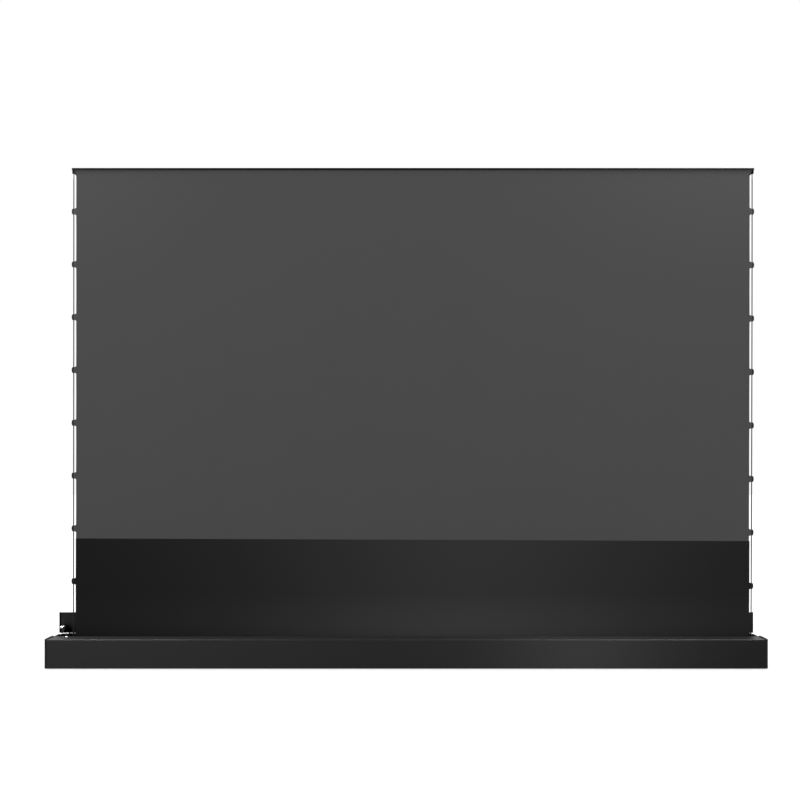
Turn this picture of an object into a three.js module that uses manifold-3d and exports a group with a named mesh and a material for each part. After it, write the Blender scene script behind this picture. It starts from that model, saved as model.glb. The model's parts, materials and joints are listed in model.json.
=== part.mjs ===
// Floor rising projection screen. A motorised roller lies in a long low case, the sheet rises from a
// slot in the top with a tension cord down each side, and a scissor lift behind it carries the top bar.
// Millimetres, +Z up, the front faces -Y. The origin is on the floor under the middle of the case.
import * as THREE from "three";
import { mergeVertices } from "three/addons/utils/BufferGeometryUtils.js";
import Module from "manifold-3d";

const wasm = await Module();
wasm.setup();

// Overall sizes
const FABRIC_WIDTH = 2782;
const SCREEN_TOP = 2052.6;
const CASE_DEPTH = 180;
const CASE_HEIGHT = 120;
const FABRIC_BACKSET = 95; // from the case's front face to the sheet

// Clearances
const FIT = 0.3; // between pieces that touch
const PLAY = 1; // between pieces that move past each other
const OVERRUN = 6; // how far a cut runs past the faces that it goes through

// Case
const FOOT_HEIGHT = 2.7;
const FOOT_LENGTH = 90;
const FOOT_WIDTH = 15;
const FOOT_RADIUS = 4;
const FOOT_INSET = 110; // from the end of the case to the foot
const FOOT_BACKSET = 16; // from the front or rear face to the foot
const FOOT_MARGIN = 3; // flange beyond the foot
const PANEL_WALL = 2.5;
const STRIP_GAP = 9; // from the fixed strip along the front of the top to the sheet
const STRIP_LIP = 9;
const EDGE_RADIUS = 3;
const BOTTOM_RADIUS = 1.5;
const TRAY_WALL = 2.5;
const TRAY_RIM = 12;
const END_CAP_THICKNESS = 8;
const END_CAP_RIM = 3; // above the strip
const END_ROOM = 1.7; // from the roller's right bracket to the end cap
const PEG_LENGTH = 13;
const PEG_DEPTH = 10;
const PEG_HEIGHT = 16;

// Lid and its hinge
const LID_THICKNESS = 3;
const LID_LIP = 9;
const LID_RIB = 5;
const LID_RIB_SHARE = 0.65; // how far up the open lid its rib runs
const LID_END_THICKNESS = 3;
const KNUCKLE_RADIUS = 3;
const KNUCKLE_COUNT = 15;
const HINGE_ROD_RADIUS = 1.4;

// Lid opener, a crank and a link of one length with the lid's own lug, at the left end
const OPENER_INSET = 12; // from the end of the case to the lug pin's head
const OPENER_ROOM = 1.7; // from the opener to the end of the top bar
const GEARBOX_THICKNESS = 18;
const GEARBOX_WALL = 6;
const GEARBOX_BACK = 29; // how far it reaches behind the crank shaft
const GEARBOX_BOSS = 15;
const MOTOR_CAN_RADIUS = 17;
const MOTOR_CAN_LENGTH = 38;
const CRANK_SHAFT_RADIUS = 5;
const CRANK_BACK = 44; // from the lid's hinge forward to the crank shaft
const CRANK_DROP = 24; // from the lid's hinge down to the crank shaft
const CRANK_FORWARD = 12.5; // from the crank shaft to the crank pin
const CRANK_RISE = 28;
const CRANK_HUB = 13;
const CRANK_EYE = 11;
const CRANK_THICKNESS = 24;
const LINK_THICKNESS = 7;
const LUG_THICKNESS = 5;
const LUG_FOOT = 36;
const LUG_FOOT_THICKNESS = 2;
const LUG_PIN_HEAD_LENGTH = 10;
const OPENER_PIN_RADIUS = 3;
const OPENER_PIN_HEAD = 6;
const OPENER_PIN_HEAD_THICKNESS = 2;

// Roller
const ROLLER_HEIGHT = 60;
const TUBE_RADIUS = 31;
const TUBE_WALL = 2;
const WRAP_THICKNESS = 2.2; // what stays wound when the screen is up
const WRAP_ROOM = 5.5; // room for what winds on top of that when it comes down
const SPOOL_WIDTH = 16;
const BRACKET_WALL = 3;
const BRACKET_HALF_WIDTH = 31;
const BRACKET_ROOM = 24; // from the top of the case down to the brackets
const BRACKET_FOOT = 30;
const IDLE_PIN_RADIUS = 6;
const IDLE_PLUG_LENGTH = 32;
const IDLE_RIM = 2;
const MOTOR_RADIUS = 22.5;
const MOTOR_LENGTH = 520;
const MOTOR_SHAFT_RADIUS = 8;
const MOTOR_SHAFT_LENGTH = 18;
const MOTOR_HEAD_RADIUS = 26;
const MOTOR_HEAD_THICKNESS = 8;
const MOTOR_STUB_RADIUS = 9;
const CROWN_LENGTH = 22;

// Sheet, tabs and tension cords
const FABRIC_THICKNESS = 0.5;
const DROP_TOP_LEFT = 523; // height of the edge between the viewing surface and the black drop
const DROP_TOP_RIGHT = 512;
const TAB_PITCH_LEFT = 218.2;
const TAB_PITCH_RIGHT = 221;
const TAB_LEAST_HEIGHT = 250; // no tab stands lower than this
const TAB_FIRST_DROP = 179; // from the top of the bar to the first tab
const TAB_THICKNESS = 0.5;
const TAB_BAND = 12; // overlap on the sheet
const TAB_ROOT_HEIGHT = 30;
const TAB_TIP_HEIGHT = 18;
const CORD_OFFSET = 11; // from the sheet's edge out to the cord
const CORD_RADIUS = 2;
const CORD_SIDES = 6;
const CORD_STEPS = 4;
const CLIP_REACH = 10; // beyond the cord
const CLIP_HEIGHT = 23;
const CLIP_RADIUS = 7;
const CLIP_THICKNESS = 3;

// Scissor lift
const RAISED_DEGREES = 36.724; // slope of the arms when the screen is up
const ARM_WIDTH = 28;
const ARM_THICKNESS = 4;
const ARM_GAP = 0.6; // washer between two arms
const RIVET_RADIUS = 4;
const RIVET_HEAD_RADIUS = 7;
const RIVET_HEAD_THICKNESS = 1.2;
const CHANNEL_WALL = 2.5;
const CHANNEL_ROOM = 0.5; // between a moving rivet head and a channel's wall
const HEAD_ROOM = 0.5; // between an arm's end and a channel's web
const RAIL_ROOM = 1.4;
const RAIL_RISE = 9; // walls above the pivot
const RAIL_OVERHANG = 25; // rail beyond its end pivot
const RAIL_END_ROOM = 5; // from the rail's other end to the motor's cable
const FOLD_GAP = 1.5; // between two folded arms
const SHOE_LENGTH = 48;
const SHOE_HEIGHT = 26;
const SPRING_ROOM = 0.4; // from the gas spring to the rail's walls
const SPRING_WALL = 1.5;
const SPRING_ROD_RADIUS = 3;
const SPRING_LAP = 20; // rod still inside the cylinder when the lift is up

// Top bar
const BAR_OVERHANG = 17.5; // beyond the sheet's edge
const BAR_GAP = 0.55; // from the bar's lip to the sheet
const BAR_LIP = 8.3;
const BAR_WALL = 2.5;
const BAR_WEB_DROP = 10; // webs below the pivot
const BAR_WEB_INSET = 4; // webs end this far inside the sheet's edge
const BATTEN_ROOM = 0.7; // above the pivot pin's head
const HOOK_THICKNESS = 4;
const HOOK_RADIUS = 2.5;
const HOOK_DROP = 23;
const HOOK_STRAP = 6;
const HOOK_STRAP_DROP = 33;
const HOOK_LAP = 3;

// Electrics
const CONTROL_LENGTH = 180;
const CONTROL_ROOM = 17; // from the base rail's back to the control unit
const CONTROL_HEIGHT = 50;
const CONTROL_INSET = 158; // from the end of the case
const CONTROL_BACKSET = 6; // from the rear panel
const CONTROL_RADIUS = 4;
const INLET_WIDTH = 30;
const INLET_HEIGHT = 22;
const INLET_DEPTH = 24;
const INLET_RIM = 4;
const INLET_RIM_THICKNESS = 3;
const INLET_WALL = 2;
const INLET_RECESS = 16;
const INLET_INSET = 98; // from the end of the case
const INLET_LEVEL = 45;
const CABLE_RADIUS = 2;
const CABLE_SIDES = 8;
const CABLE_BEND = 12;
const CABLE_SPAN_STEPS = 3;
const CABLE_FALL_SHARE = 0.6; // of its fall to the tray, where the motor's cable starts to bend

// Curve steps
const CURVE_STEPS = 4;
const ROUND_STEPS = 24;
const ROLLER_STEPS = 40;
const KNUCKLE_STEPS = 12;

// Case, worked out. It is as long as the sheet, with the opener beyond its left edge and the motor's
// head beyond its right one, so the sheet stands a little right of the case's middle.
const openerRoom =
  OPENER_INSET +
  LUG_PIN_HEAD_LENGTH +
  FIT +
  LUG_THICKNESS +
  PLAY +
  LINK_THICKNESS +
  PLAY +
  CRANK_THICKNESS +
  FIT +
  GEARBOX_THICKNESS +
  OPENER_ROOM;
const spoolRoom = CORD_OFFSET + SPOOL_WIDTH / 2 + PLAY;
const motorRoom = spoolRoom + PLAY + MOTOR_HEAD_THICKNESS + FIT + BRACKET_WALL + END_ROOM;
const leftRoom = openerRoom + BAR_OVERHANG;
const rightRoom = motorRoom + END_CAP_THICKNESS;
const caseLength = FABRIC_WIDTH + leftRoom + rightRoom;
const screenShift = (leftRoom - rightRoom) / 2;
const frontFace = -CASE_DEPTH / 2;
const rearFace = CASE_DEPTH / 2;
const caseBottom = FOOT_HEIGHT + FIT;
const innerEnd = caseLength / 2 - END_CAP_THICKNESS;
const profileEnd = innerEnd - FIT;
const fabricY = frontFace + FABRIC_BACKSET;
const stripEdge = fabricY - STRIP_GAP;
const flangeWidth = FOOT_BACKSET + FOOT_WIDTH + FOOT_MARGIN;
const trayBottom = caseBottom + PANEL_WALL + FIT;
const trayTop = trayBottom + TRAY_WALL;
const innerFront = frontFace + PANEL_WALL + FIT;
const innerRear = rearFace - KNUCKLE_RADIUS - FIT;
const hingeY = rearFace - KNUCKLE_RADIUS;
const hingeZ = CASE_HEIGHT - KNUCKLE_RADIUS;
const lidReach = hingeY - stripEdge - PLAY;

// Sheet and roller, worked out
const fabricLeft = screenShift - FABRIC_WIDTH / 2;
const fabricRight = screenShift + FABRIC_WIDTH / 2;
const fabricBack = fabricY + FABRIC_THICKNESS / 2;
const wrapRadius = TUBE_RADIUS + FIT + WRAP_THICKNESS;
const rollerY = fabricY - FABRIC_THICKNESS / 2 - FIT - wrapRadius;
const tubeLeft = fabricLeft - spoolRoom;
const tubeRight = fabricRight + spoolRoom;
const tabY = fabricBack + FIT;
const cordY = tabY + TAB_THICKNESS + FIT + CORD_RADIUS;
const spoolRadius = cordY - CORD_RADIUS - FIT - rollerY;
const motorHeadX = tubeRight + PLAY;
const rightBracketX = motorHeadX + MOTOR_HEAD_THICKNESS + FIT;
const leftBracketX = tubeLeft - IDLE_RIM - PLAY - BRACKET_WALL;

// Lift, worked out
const channelFront = rollerY + wrapRadius + WRAP_ROOM;
const sideGap = FIT + RIVET_HEAD_THICKNESS + CHANNEL_ROOM;
const frontLayer = channelFront + CHANNEL_WALL + sideGap;
const rearLayer = frontLayer + ARM_THICKNESS + ARM_GAP;
const channelInner = rearLayer + ARM_THICKNESS + sideGap;
const channelBack = channelInner + CHANNEL_WALL;
const railFloor = trayTop + FIT + CHANNEL_WALL;
const basePivotZ = railFloor + RAIL_ROOM + ARM_WIDTH / 2;
const barPivotDrop = BAR_WALL + HEAD_ROOM + ARM_WIDTH / 2;
const topPivotZ = SCREEN_TOP - barPivotDrop;
const raisedAngle = THREE.MathUtils.degToRad(RAISED_DEGREES);
const armPitch = (topPivotZ - basePivotZ) / (2 * Math.sin(raisedAngle));
const foldedAngle = Math.asin((ARM_WIDTH + FOLD_GAP) / armPitch);
const raisedSpan = armPitch * Math.cos(raisedAngle);
const basePivotX = screenShift - raisedSpan / 2;
const shoeTravel = armPitch * Math.cos(foldedAngle) - raisedSpan;
const battenHeight = barPivotDrop - RIVET_HEAD_RADIUS - BAR_WALL - FIT - BATTEN_ROOM;
const fingerInset = CORD_OFFSET - CORD_RADIUS - FIT; // from the sheet's edge to a hook's finger
const motorCableX = motorHeadX + MOTOR_HEAD_THICKNESS / 2;
const railRight = motorCableX - CABLE_RADIUS - RAIL_END_ROOM;
const springRadius = (channelInner - channelFront - CHANNEL_WALL) / 2 - SPRING_ROOM;
const springLeft = basePivotX + raisedSpan + shoeTravel + SHOE_LENGTH / 2 + PLAY;
const springRight = railRight - PLAY;

// Solids

// A closed outline through corners [a, b] or [a, b, radius], with each named radius rounded.
function outline(corners) {
  const shape = new THREE.Shape();
  const place = (from, to, distance) => {
    const start = new THREE.Vector2(from[0], from[1]);
    const step = new THREE.Vector2(to[0], to[1]).sub(start).setLength(distance);
    return start.add(step);
  };
  corners.forEach((corner, i) => {
    const radius = corner[2] || 0;
    const before = place(corner, corners.at(i - 1), radius);
    const after = place(corner, corners[(i + 1) % corners.length], radius);
    if (i === 0) shape.moveTo(before.x, before.y);
    else shape.lineTo(before.x, before.y);
    if (radius > 0) shape.quadraticCurveTo(corner[0], corner[1], after.x, after.y);
  });
  shape.closePath();
  return shape;
}

function rectangle(a0, b0, a1, b1, radius = 0) {
  return outline([
    [a0, b0, radius],
    [a1, b0, radius],
    [a1, b1, radius],
    [a0, b1, radius],
  ]);
}

// A bar outline with a round end of its own radius about each of two centres.
function eyeBar(a0, b0, radius0, a1, b1, radius1) {
  const shape = new THREE.Shape();
  const angle = Math.atan2(b1 - b0, a1 - a0);
  const lean = Math.acos((radius0 - radius1) / Math.hypot(a1 - a0, b1 - b0));
  shape.absarc(a0, b0, radius0, angle + lean, angle - lean + 2 * Math.PI);
  shape.absarc(a1, b1, radius1, angle - lean, angle + lean);
  shape.closePath();
  return shape;
}

// A geometry as a solid with its faces pointing out.
function solidOf(geometry, matrix = new THREE.Matrix4()) {
  const bare = geometry.clone().applyMatrix4(matrix);
  bare.deleteAttribute("normal");
  bare.deleteAttribute("uv");
  const merged = mergeVertices(bare);
  const triVerts = new Uint32Array(merged.index.array);
  const vertProperties = merged.attributes.position.array;
  return new wasm.Manifold(new wasm.Mesh({ numProp: 3, vertProperties, triVerts }));
}

const lengthways = new THREE.Matrix4().makeBasis(
  new THREE.Vector3(0, 1, 0),
  new THREE.Vector3(0, 0, 1),
  new THREE.Vector3(1, 0, 0),
);
const backwards = new THREE.Matrix4().makeBasis(
  new THREE.Vector3(1, 0, 0),
  new THREE.Vector3(0, 0, 1),
  new THREE.Vector3(0, -1, 0),
);

function extrude(shape, depth, steps = CURVE_STEPS) {
  return new THREE.ExtrudeGeometry(shape, { depth, bevelEnabled: false, curveSegments: steps });
}

// A section drawn in Y and Z, from x0 to x1.
function alongX(shape, x0, x1, steps) {
  const matrix = lengthways.clone().setPosition(x0, 0, 0);
  return solidOf(extrude(shape, x1 - x0, steps), matrix);
}

// A plate drawn in X and Z, from y0 to y1.
function alongY(shape, y0, y1, steps) {
  const matrix = backwards.clone().setPosition(0, y1, 0);
  return solidOf(extrude(shape, y1 - y0, steps), matrix);
}

// A pad drawn in X and Y, from z0 to z1.
function alongZ(shape, z0, z1, steps) {
  return solidOf(extrude(shape, z1 - z0, steps), new THREE.Matrix4().setPosition(0, 0, z0));
}

function block(x0, x1, y0, y1, z0, z1) {
  return alongX(rectangle(y0, z0, y1, z1), x0, x1);
}

// A turned piece: profile points [radius, place along the axis], which starts and ends on the axis.
function turned(profile, axis, centre = [0, 0, 0], steps = ROUND_STEPS) {
  const points = profile.map(([radius, place]) => new THREE.Vector2(radius, place));
  const lathe = new THREE.LatheGeometry(points, steps);
  if (axis === "x") lathe.rotateZ(-Math.PI / 2);
  return solidOf(lathe, new THREE.Matrix4().setPosition(...centre));
}

function disc(radius, from, to, axis, centre, steps) {
  const profile = [
    [0, from],
    [radius, from],
    [radius, to],
    [0, to],
  ];
  return turned(profile, axis, centre, steps);
}

function ring(inner, outer, from, to, axis, centre, steps) {
  const whole = disc(outer, from, to, axis, centre, steps);
  return whole.subtract(disc(inner, from - OVERRUN, to + OVERRUN, axis, centre, steps));
}

// A rivet or pin along Y with a head at each end.
function rivet(from, to, radius, headRadius, headThickness) {
  const profile = [
    [0, from],
    [headRadius, from],
    [headRadius, from + headThickness],
    [radius, from + headThickness],
    [radius, to - headThickness],
    [headRadius, to - headThickness],
    [headRadius, to],
    [0, to],
  ];
  return turned(profile, "y");
}

// A smooth curve whose steps are shared evenly among its points, so that short bends get as many as
// long straights.
class Route extends THREE.CatmullRomCurve3 {
  getUtoTmapping(share) {
    return share;
  }
}

// A round cable or cord through points, with the same number of steps between each two.
function cable(points, radius, sides, spanSteps) {
  const section = new THREE.Shape();
  for (let i = 0; i < sides; i += 1) {
    const angle = (2 * Math.PI * i) / sides;
    const corner = [radius * Math.cos(angle), radius * Math.sin(angle)];
    if (i === 0) section.moveTo(...corner);
    else section.lineTo(...corner);
  }
  const corners = points.map((point) => new THREE.Vector3(...point));
  const route = new Route(corners, false, "centripetal");
  const steps = spanSteps * (points.length - 1);
  return solidOf(new THREE.ExtrudeGeometry(section, { steps, extrudePath: route }));
}

// Scene graph

const screen = new THREE.Group();

function finish(color, roughness, metalness) {
  return new THREE.MeshStandardMaterial({ color, roughness, metalness });
}

const blackPaint = () => finish(0x202020, 0.45, 0.6);
const blackPlastic = () => finish(0x161616, 0.5, 0);
const glossBlack = () => finish(0x0a0a0a, 0.2, 0);
const brightSteel = () => finish(0xb8babc, 0.3, 1);
const rawAluminium = () => finish(0x9a9c9e, 0.4, 1);
const rubber = () => finish(0x101010, 0.9, 0);
const greySheet = () => finish(0x4b4b4b, 0.85, 0);
const blackSheet = () => finish(0x222222, 0.9, 0);
const greyCord = () => finish(0x5a5a5a, 0.8, 0);

function add(parent, name, solid, material) {
  const { numProp, vertProperties, triVerts } = solid.getMesh();
  const positions = new Float32Array((vertProperties.length / numProp) * 3);
  for (let i = 0; i < positions.length / 3; i += 1)
    positions.set(vertProperties.subarray(i * numProp, i * numProp + 3), i * 3);
  const geometry = new THREE.BufferGeometry();
  geometry.setAttribute("position", new THREE.BufferAttribute(positions, 3));
  geometry.setIndex(new THREE.BufferAttribute(new Uint32Array(triVerts), 1));
  geometry.computeVertexNormals();
  const mesh = new THREE.Mesh(geometry, material);
  mesh.name = name;
  parent.add(mesh);
  return mesh;
}

// A group at a pivot, turned by an angle counted from +X up towards +Z.
function hang(parent, x, z, angle) {
  const group = new THREE.Group();
  group.position.set(x, 0, z);
  group.rotation.y = -angle;
  parent.add(group);
  return group;
}

// Hinge segments along the case: the even ones are the case's, the odd ones the lid's.
const segmentLength = (2 * profileEnd) / KNUCKLE_COUNT;

function knuckles(ofLid) {
  const solids = [];
  for (let i = 0; i < KNUCKLE_COUNT; i += 1) {
    const from = -profileEnd + i * segmentLength + (i > 0 ? FIT / 2 : 0);
    const to = -profileEnd + (i + 1) * segmentLength - (i < KNUCKLE_COUNT - 1 ? FIT / 2 : 0);
    if ((i % 2 === 1) === ofLid) solids.push([from, to]);
  }
  return solids;
}

// The panel with its own knuckles joined on, the other panel's cut clear and the rod's bore through.
function hinged(panel, ofLid, centre) {
  let solid = panel;
  const [, y, z] = centre;
  const reach = KNUCKLE_RADIUS + FIT;
  for (const [from, to] of knuckles(!ofLid))
    solid = solid.subtract(block(from - FIT, to + FIT, y - reach, y + reach, z - reach, z + reach));
  for (const [from, to] of knuckles(ofLid))
    solid = solid.add(disc(KNUCKLE_RADIUS, from, to, "x", centre, KNUCKLE_STEPS));
  const bore = HINGE_ROD_RADIUS + FIT;
  return solid.subtract(disc(bore, -caseLength / 2, caseLength / 2, "x", centre, KNUCKLE_STEPS));
}

// Case

function frontPanel() {
  const inner = frontFace + PANEL_WALL;
  const section = outline([
    [frontFace, caseBottom, BOTTOM_RADIUS],
    [frontFace, CASE_HEIGHT, EDGE_RADIUS],
    [stripEdge, CASE_HEIGHT],
    [stripEdge, CASE_HEIGHT - STRIP_LIP],
    [stripEdge - PANEL_WALL, CASE_HEIGHT - STRIP_LIP],
    [stripEdge - PANEL_WALL, CASE_HEIGHT - PANEL_WALL],
    [inner, CASE_HEIGHT - PANEL_WALL],
    [inner, caseBottom + PANEL_WALL],
    [frontFace + flangeWidth, caseBottom + PANEL_WALL],
    [frontFace + flangeWidth, caseBottom],
  ]);
  return alongX(section, -profileEnd, profileEnd);
}

const inletX = caseLength / 2 - INLET_INSET;

function rearPanel() {
  const section = outline([
    [rearFace, caseBottom, BOTTOM_RADIUS],
    [rearFace, hingeZ],
    [hingeY, hingeZ],
    [hingeY, caseBottom + PANEL_WALL],
    [rearFace - flangeWidth, caseBottom + PANEL_WALL],
    [rearFace - flangeWidth, caseBottom],
  ]);
  const wall = alongX(section, -profileEnd, profileEnd);
  const halfWidth = INLET_WIDTH / 2 + FIT;
  const halfHeight = INLET_HEIGHT / 2 + FIT;
  const window = block(
    inletX - halfWidth,
    inletX + halfWidth,
    hingeY - OVERRUN,
    rearFace + OVERRUN,
    INLET_LEVEL - halfHeight,
    INLET_LEVEL + halfHeight,
  );
  return hinged(wall, false, [0, hingeY, hingeZ]).subtract(window);
}

function bottomTray() {
  const section = outline([
    [innerFront, trayBottom],
    [innerRear, trayBottom],
    [innerRear, trayTop + TRAY_RIM],
    [innerRear - TRAY_WALL, trayTop + TRAY_RIM],
    [innerRear - TRAY_WALL, trayTop],
    [innerFront + TRAY_WALL, trayTop],
    [innerFront + TRAY_WALL, trayTop + TRAY_RIM],
    [innerFront, trayTop + TRAY_RIM],
  ]);
  return alongX(section, -profileEnd, profileEnd);
}

// An end cap follows the case's section, with a rim above the strip's end, and is lower behind the
// strip so that the lid closes over it.
function endCap(side) {
  const rim = CASE_HEIGHT + END_CAP_RIM;
  const lidSeat = CASE_HEIGHT - KNUCKLE_RADIUS - PLAY / 2;
  const hingeSeat = hingeZ - KNUCKLE_RADIUS - FIT;
  const section = outline([
    [frontFace, caseBottom, BOTTOM_RADIUS],
    [frontFace, rim, EDGE_RADIUS],
    [stripEdge, rim],
    [stripEdge, lidSeat],
    [hingeY - KNUCKLE_RADIUS - FIT, lidSeat],
    [hingeY - KNUCKLE_RADIUS - FIT, hingeSeat],
    [rearFace, hingeSeat],
    [rearFace, caseBottom, BOTTOM_RADIUS],
  ]);
  const plate = [side * innerEnd, side * (innerEnd + END_CAP_THICKNESS)].sort((a, b) => a - b);
  const peg = [side * (innerEnd - PEG_LENGTH), side * (innerEnd + OVERRUN)].sort((a, b) => a - b);
  const pegMiddle = (caseBottom + CASE_HEIGHT) / 2;
  let solid = alongX(section, ...plate);
  for (const [y0, y1] of [
    [innerFront, innerFront + PEG_DEPTH],
    [innerRear - PEG_DEPTH, innerRear],
  ])
    solid = solid.add(block(...peg, y0, y1, pegMiddle - PEG_HEIGHT / 2, pegMiddle + PEG_HEIGHT / 2));
  return solid;
}

function foot(sideX, sideY) {
  const x = sideX * (caseLength / 2 - FOOT_INSET - FOOT_LENGTH / 2);
  const y = sideY * (CASE_DEPTH / 2 - FOOT_BACKSET - FOOT_WIDTH / 2);
  const halfLength = FOOT_LENGTH / 2;
  const halfWidth = FOOT_WIDTH / 2;
  const pad = rectangle(x - halfLength, y - halfWidth, x + halfLength, y + halfWidth, FOOT_RADIUS);
  return alongZ(pad, 0, FOOT_HEIGHT);
}

function buildCase(parent) {
  add(parent, "bottom_tray", bottomTray(), blackPaint());
  add(parent, "front_panel", frontPanel(), blackPaint());
  add(parent, "rear_panel", rearPanel(), blackPaint());
  add(parent, "end_cap_left", endCap(-1), blackPlastic());
  add(parent, "end_cap_right", endCap(1), blackPlastic());
  for (const [sideY, where] of [
    [-1, "front"],
    [1, "rear"],
  ])
    for (const [sideX, end] of [
      [-1, "left"],
      [1, "right"],
    ])
      add(parent, `foot_${where}_${end}`, foot(sideX, sideY), rubber());
  const rod = disc(HINGE_ROD_RADIUS, -profileEnd, profileEnd, "x", [0, hingeY, hingeZ], KNUCKLE_STEPS);
  add(parent, "lid_hinge_rod", rod, brightSteel());
}

// Lid, drawn standing open about its hinge

const lidGroup = new THREE.Group();
lidGroup.position.set(0, hingeY, hingeZ);

const lidInner = KNUCKLE_RADIUS - LID_THICKNESS; // the lid's inner face from the hinge axis
const ribLow = LID_RIB_SHARE * lidReach - LID_THICKNESS / 2;

function lidPanel() {
  const lipFront = lidInner - LID_LIP;
  const section = outline([
    [KNUCKLE_RADIUS, 0],
    [KNUCKLE_RADIUS, lidReach, LID_THICKNESS / 2],
    [lipFront, lidReach],
    [lipFront, lidReach - LID_THICKNESS],
    [lidInner, lidReach - LID_THICKNESS],
    [lidInner, ribLow + LID_THICKNESS],
    [lidInner - LID_RIB, ribLow + LID_THICKNESS],
    [lidInner - LID_RIB, ribLow],
    [lidInner, ribLow],
    [lidInner, 0],
  ]);
  return hinged(alongX(section, -profileEnd, profileEnd), true, [0, 0, 0]);
}

function lidEnd(side) {
  const inner = side * (profileEnd + FIT);
  const outer = (side * caseLength) / 2;
  const low = KNUCKLE_RADIUS + FIT;
  const plate = rectangle(lidInner, low, KNUCKLE_RADIUS, lidReach, LID_END_THICKNESS / 3);
  return alongX(plate, Math.min(inner, outer), Math.max(inner, outer));
}

// Lid opener

const crankY = hingeY - CRANK_BACK;
const crankZ = hingeZ - CRANK_DROP;
const linkEye = CRANK_FORWARD - LUG_FOOT_THICKNESS - FIT - PLAY;
const lugLeft = -caseLength / 2 + OPENER_INSET + LUG_PIN_HEAD_LENGTH + FIT;
const lugRight = lugLeft + LUG_THICKNESS;
const linkLeft = lugRight + PLAY;
const linkRight = linkLeft + LINK_THICKNESS;
const crankLeft = linkRight + PLAY;
const crankRight = crankLeft + CRANK_THICKNESS;
const gearboxLeft = crankRight + FIT;
const gearboxRight = gearboxLeft + GEARBOX_THICKNESS;

function lidMotor() {
  const front = crankY - GEARBOX_BOSS;
  const back = crankY + GEARBOX_BACK;
  const top = crankZ + GEARBOX_BOSS;
  const floor = trayTop + FIT;
  const step = floor + 3 * MOTOR_CAN_RADIUS;
  const radius = GEARBOX_BOSS / 2;
  const section = outline([
    [front, floor],
    [front, top, radius],
    [crankY + GEARBOX_BOSS, top, radius],
    [crankY + GEARBOX_BOSS, step],
    [back, step, radius],
    [back, floor],
  ]);
  const canY = back - MOTOR_CAN_RADIUS - PLAY;
  const canZ = floor + MOTOR_CAN_RADIUS + PLAY;
  const box = alongX(section, gearboxLeft, gearboxRight);
  const can = disc(MOTOR_CAN_RADIUS, gearboxRight - OVERRUN, gearboxRight + MOTOR_CAN_LENGTH, "x", [
    0,
    canY,
    canZ,
  ]);
  const bore = disc(CRANK_SHAFT_RADIUS + FIT, gearboxLeft - OVERRUN, gearboxRight - GEARBOX_WALL, "x", [
    0,
    crankY,
    crankZ,
  ]);
  return { solid: box.add(can).subtract(bore), canY, canZ };
}

// Everything on the crank is drawn from the crank shaft's axis.
function crank() {
  const bar = alongX(
    eyeBar(0, 0, CRANK_HUB, -CRANK_FORWARD, CRANK_RISE, CRANK_EYE),
    crankLeft,
    crankRight,
    2 * CURVE_STEPS,
  );
  const hub = disc(CRANK_SHAFT_RADIUS + FIT, crankLeft - OVERRUN, crankRight + OVERRUN, "x");
  const eye = disc(OPENER_PIN_RADIUS + FIT, crankLeft - OVERRUN, crankRight + OVERRUN, "x", [
    0,
    -CRANK_FORWARD,
    CRANK_RISE,
  ]);
  return bar.subtract(hub).subtract(eye);
}

function headedPin(headRight, headLength, tail, centre) {
  const profile = [
    [0, headRight - headLength],
    [OPENER_PIN_HEAD, headRight - headLength],
    [OPENER_PIN_HEAD, headRight],
    [OPENER_PIN_RADIUS, headRight],
    [OPENER_PIN_RADIUS, tail],
    [0, tail],
  ];
  return turned(profile, "x", centre);
}

function link() {
  const bar = alongX(
    eyeBar(0, 0, linkEye, CRANK_BACK, CRANK_DROP, linkEye),
    linkLeft,
    linkRight,
    2 * CURVE_STEPS,
  );
  const near = disc(OPENER_PIN_RADIUS + FIT, linkLeft - OVERRUN, linkRight + OVERRUN, "x");
  const far = disc(OPENER_PIN_RADIUS + FIT, linkLeft - OVERRUN, linkRight + OVERRUN, "x", [
    0,
    CRANK_BACK,
    CRANK_DROP,
  ]);
  return bar.subtract(near).subtract(far);
}

// The lug stands on a foot that is broad enough to back the link and the crank, below the lid's rib.
function lidLug() {
  const middle = CRANK_RISE;
  const face = lidInner - FIT;
  const web = eyeBar(-CRANK_FORWARD, middle, linkEye, face - linkEye, middle, linkEye);
  const footTop = Math.min(middle + LUG_FOOT / 2, ribLow - FIT);
  const foot = rectangle(face - LUG_FOOT_THICKNESS, middle - LUG_FOOT / 2, face, footTop);
  const hole = disc(OPENER_PIN_RADIUS + FIT, lugLeft - OVERRUN, lugRight + OVERRUN, "x", [
    0,
    -CRANK_FORWARD,
    middle,
  ]);
  const trimmed = alongX(web, lugLeft, lugRight, 2 * CURVE_STEPS).subtract(
    block(lugLeft - OVERRUN, lugRight + OVERRUN, face, face + LUG_FOOT, 0, lidReach),
  );
  return trimmed.add(alongX(foot, lugLeft, crankRight)).subtract(hole);
}

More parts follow.
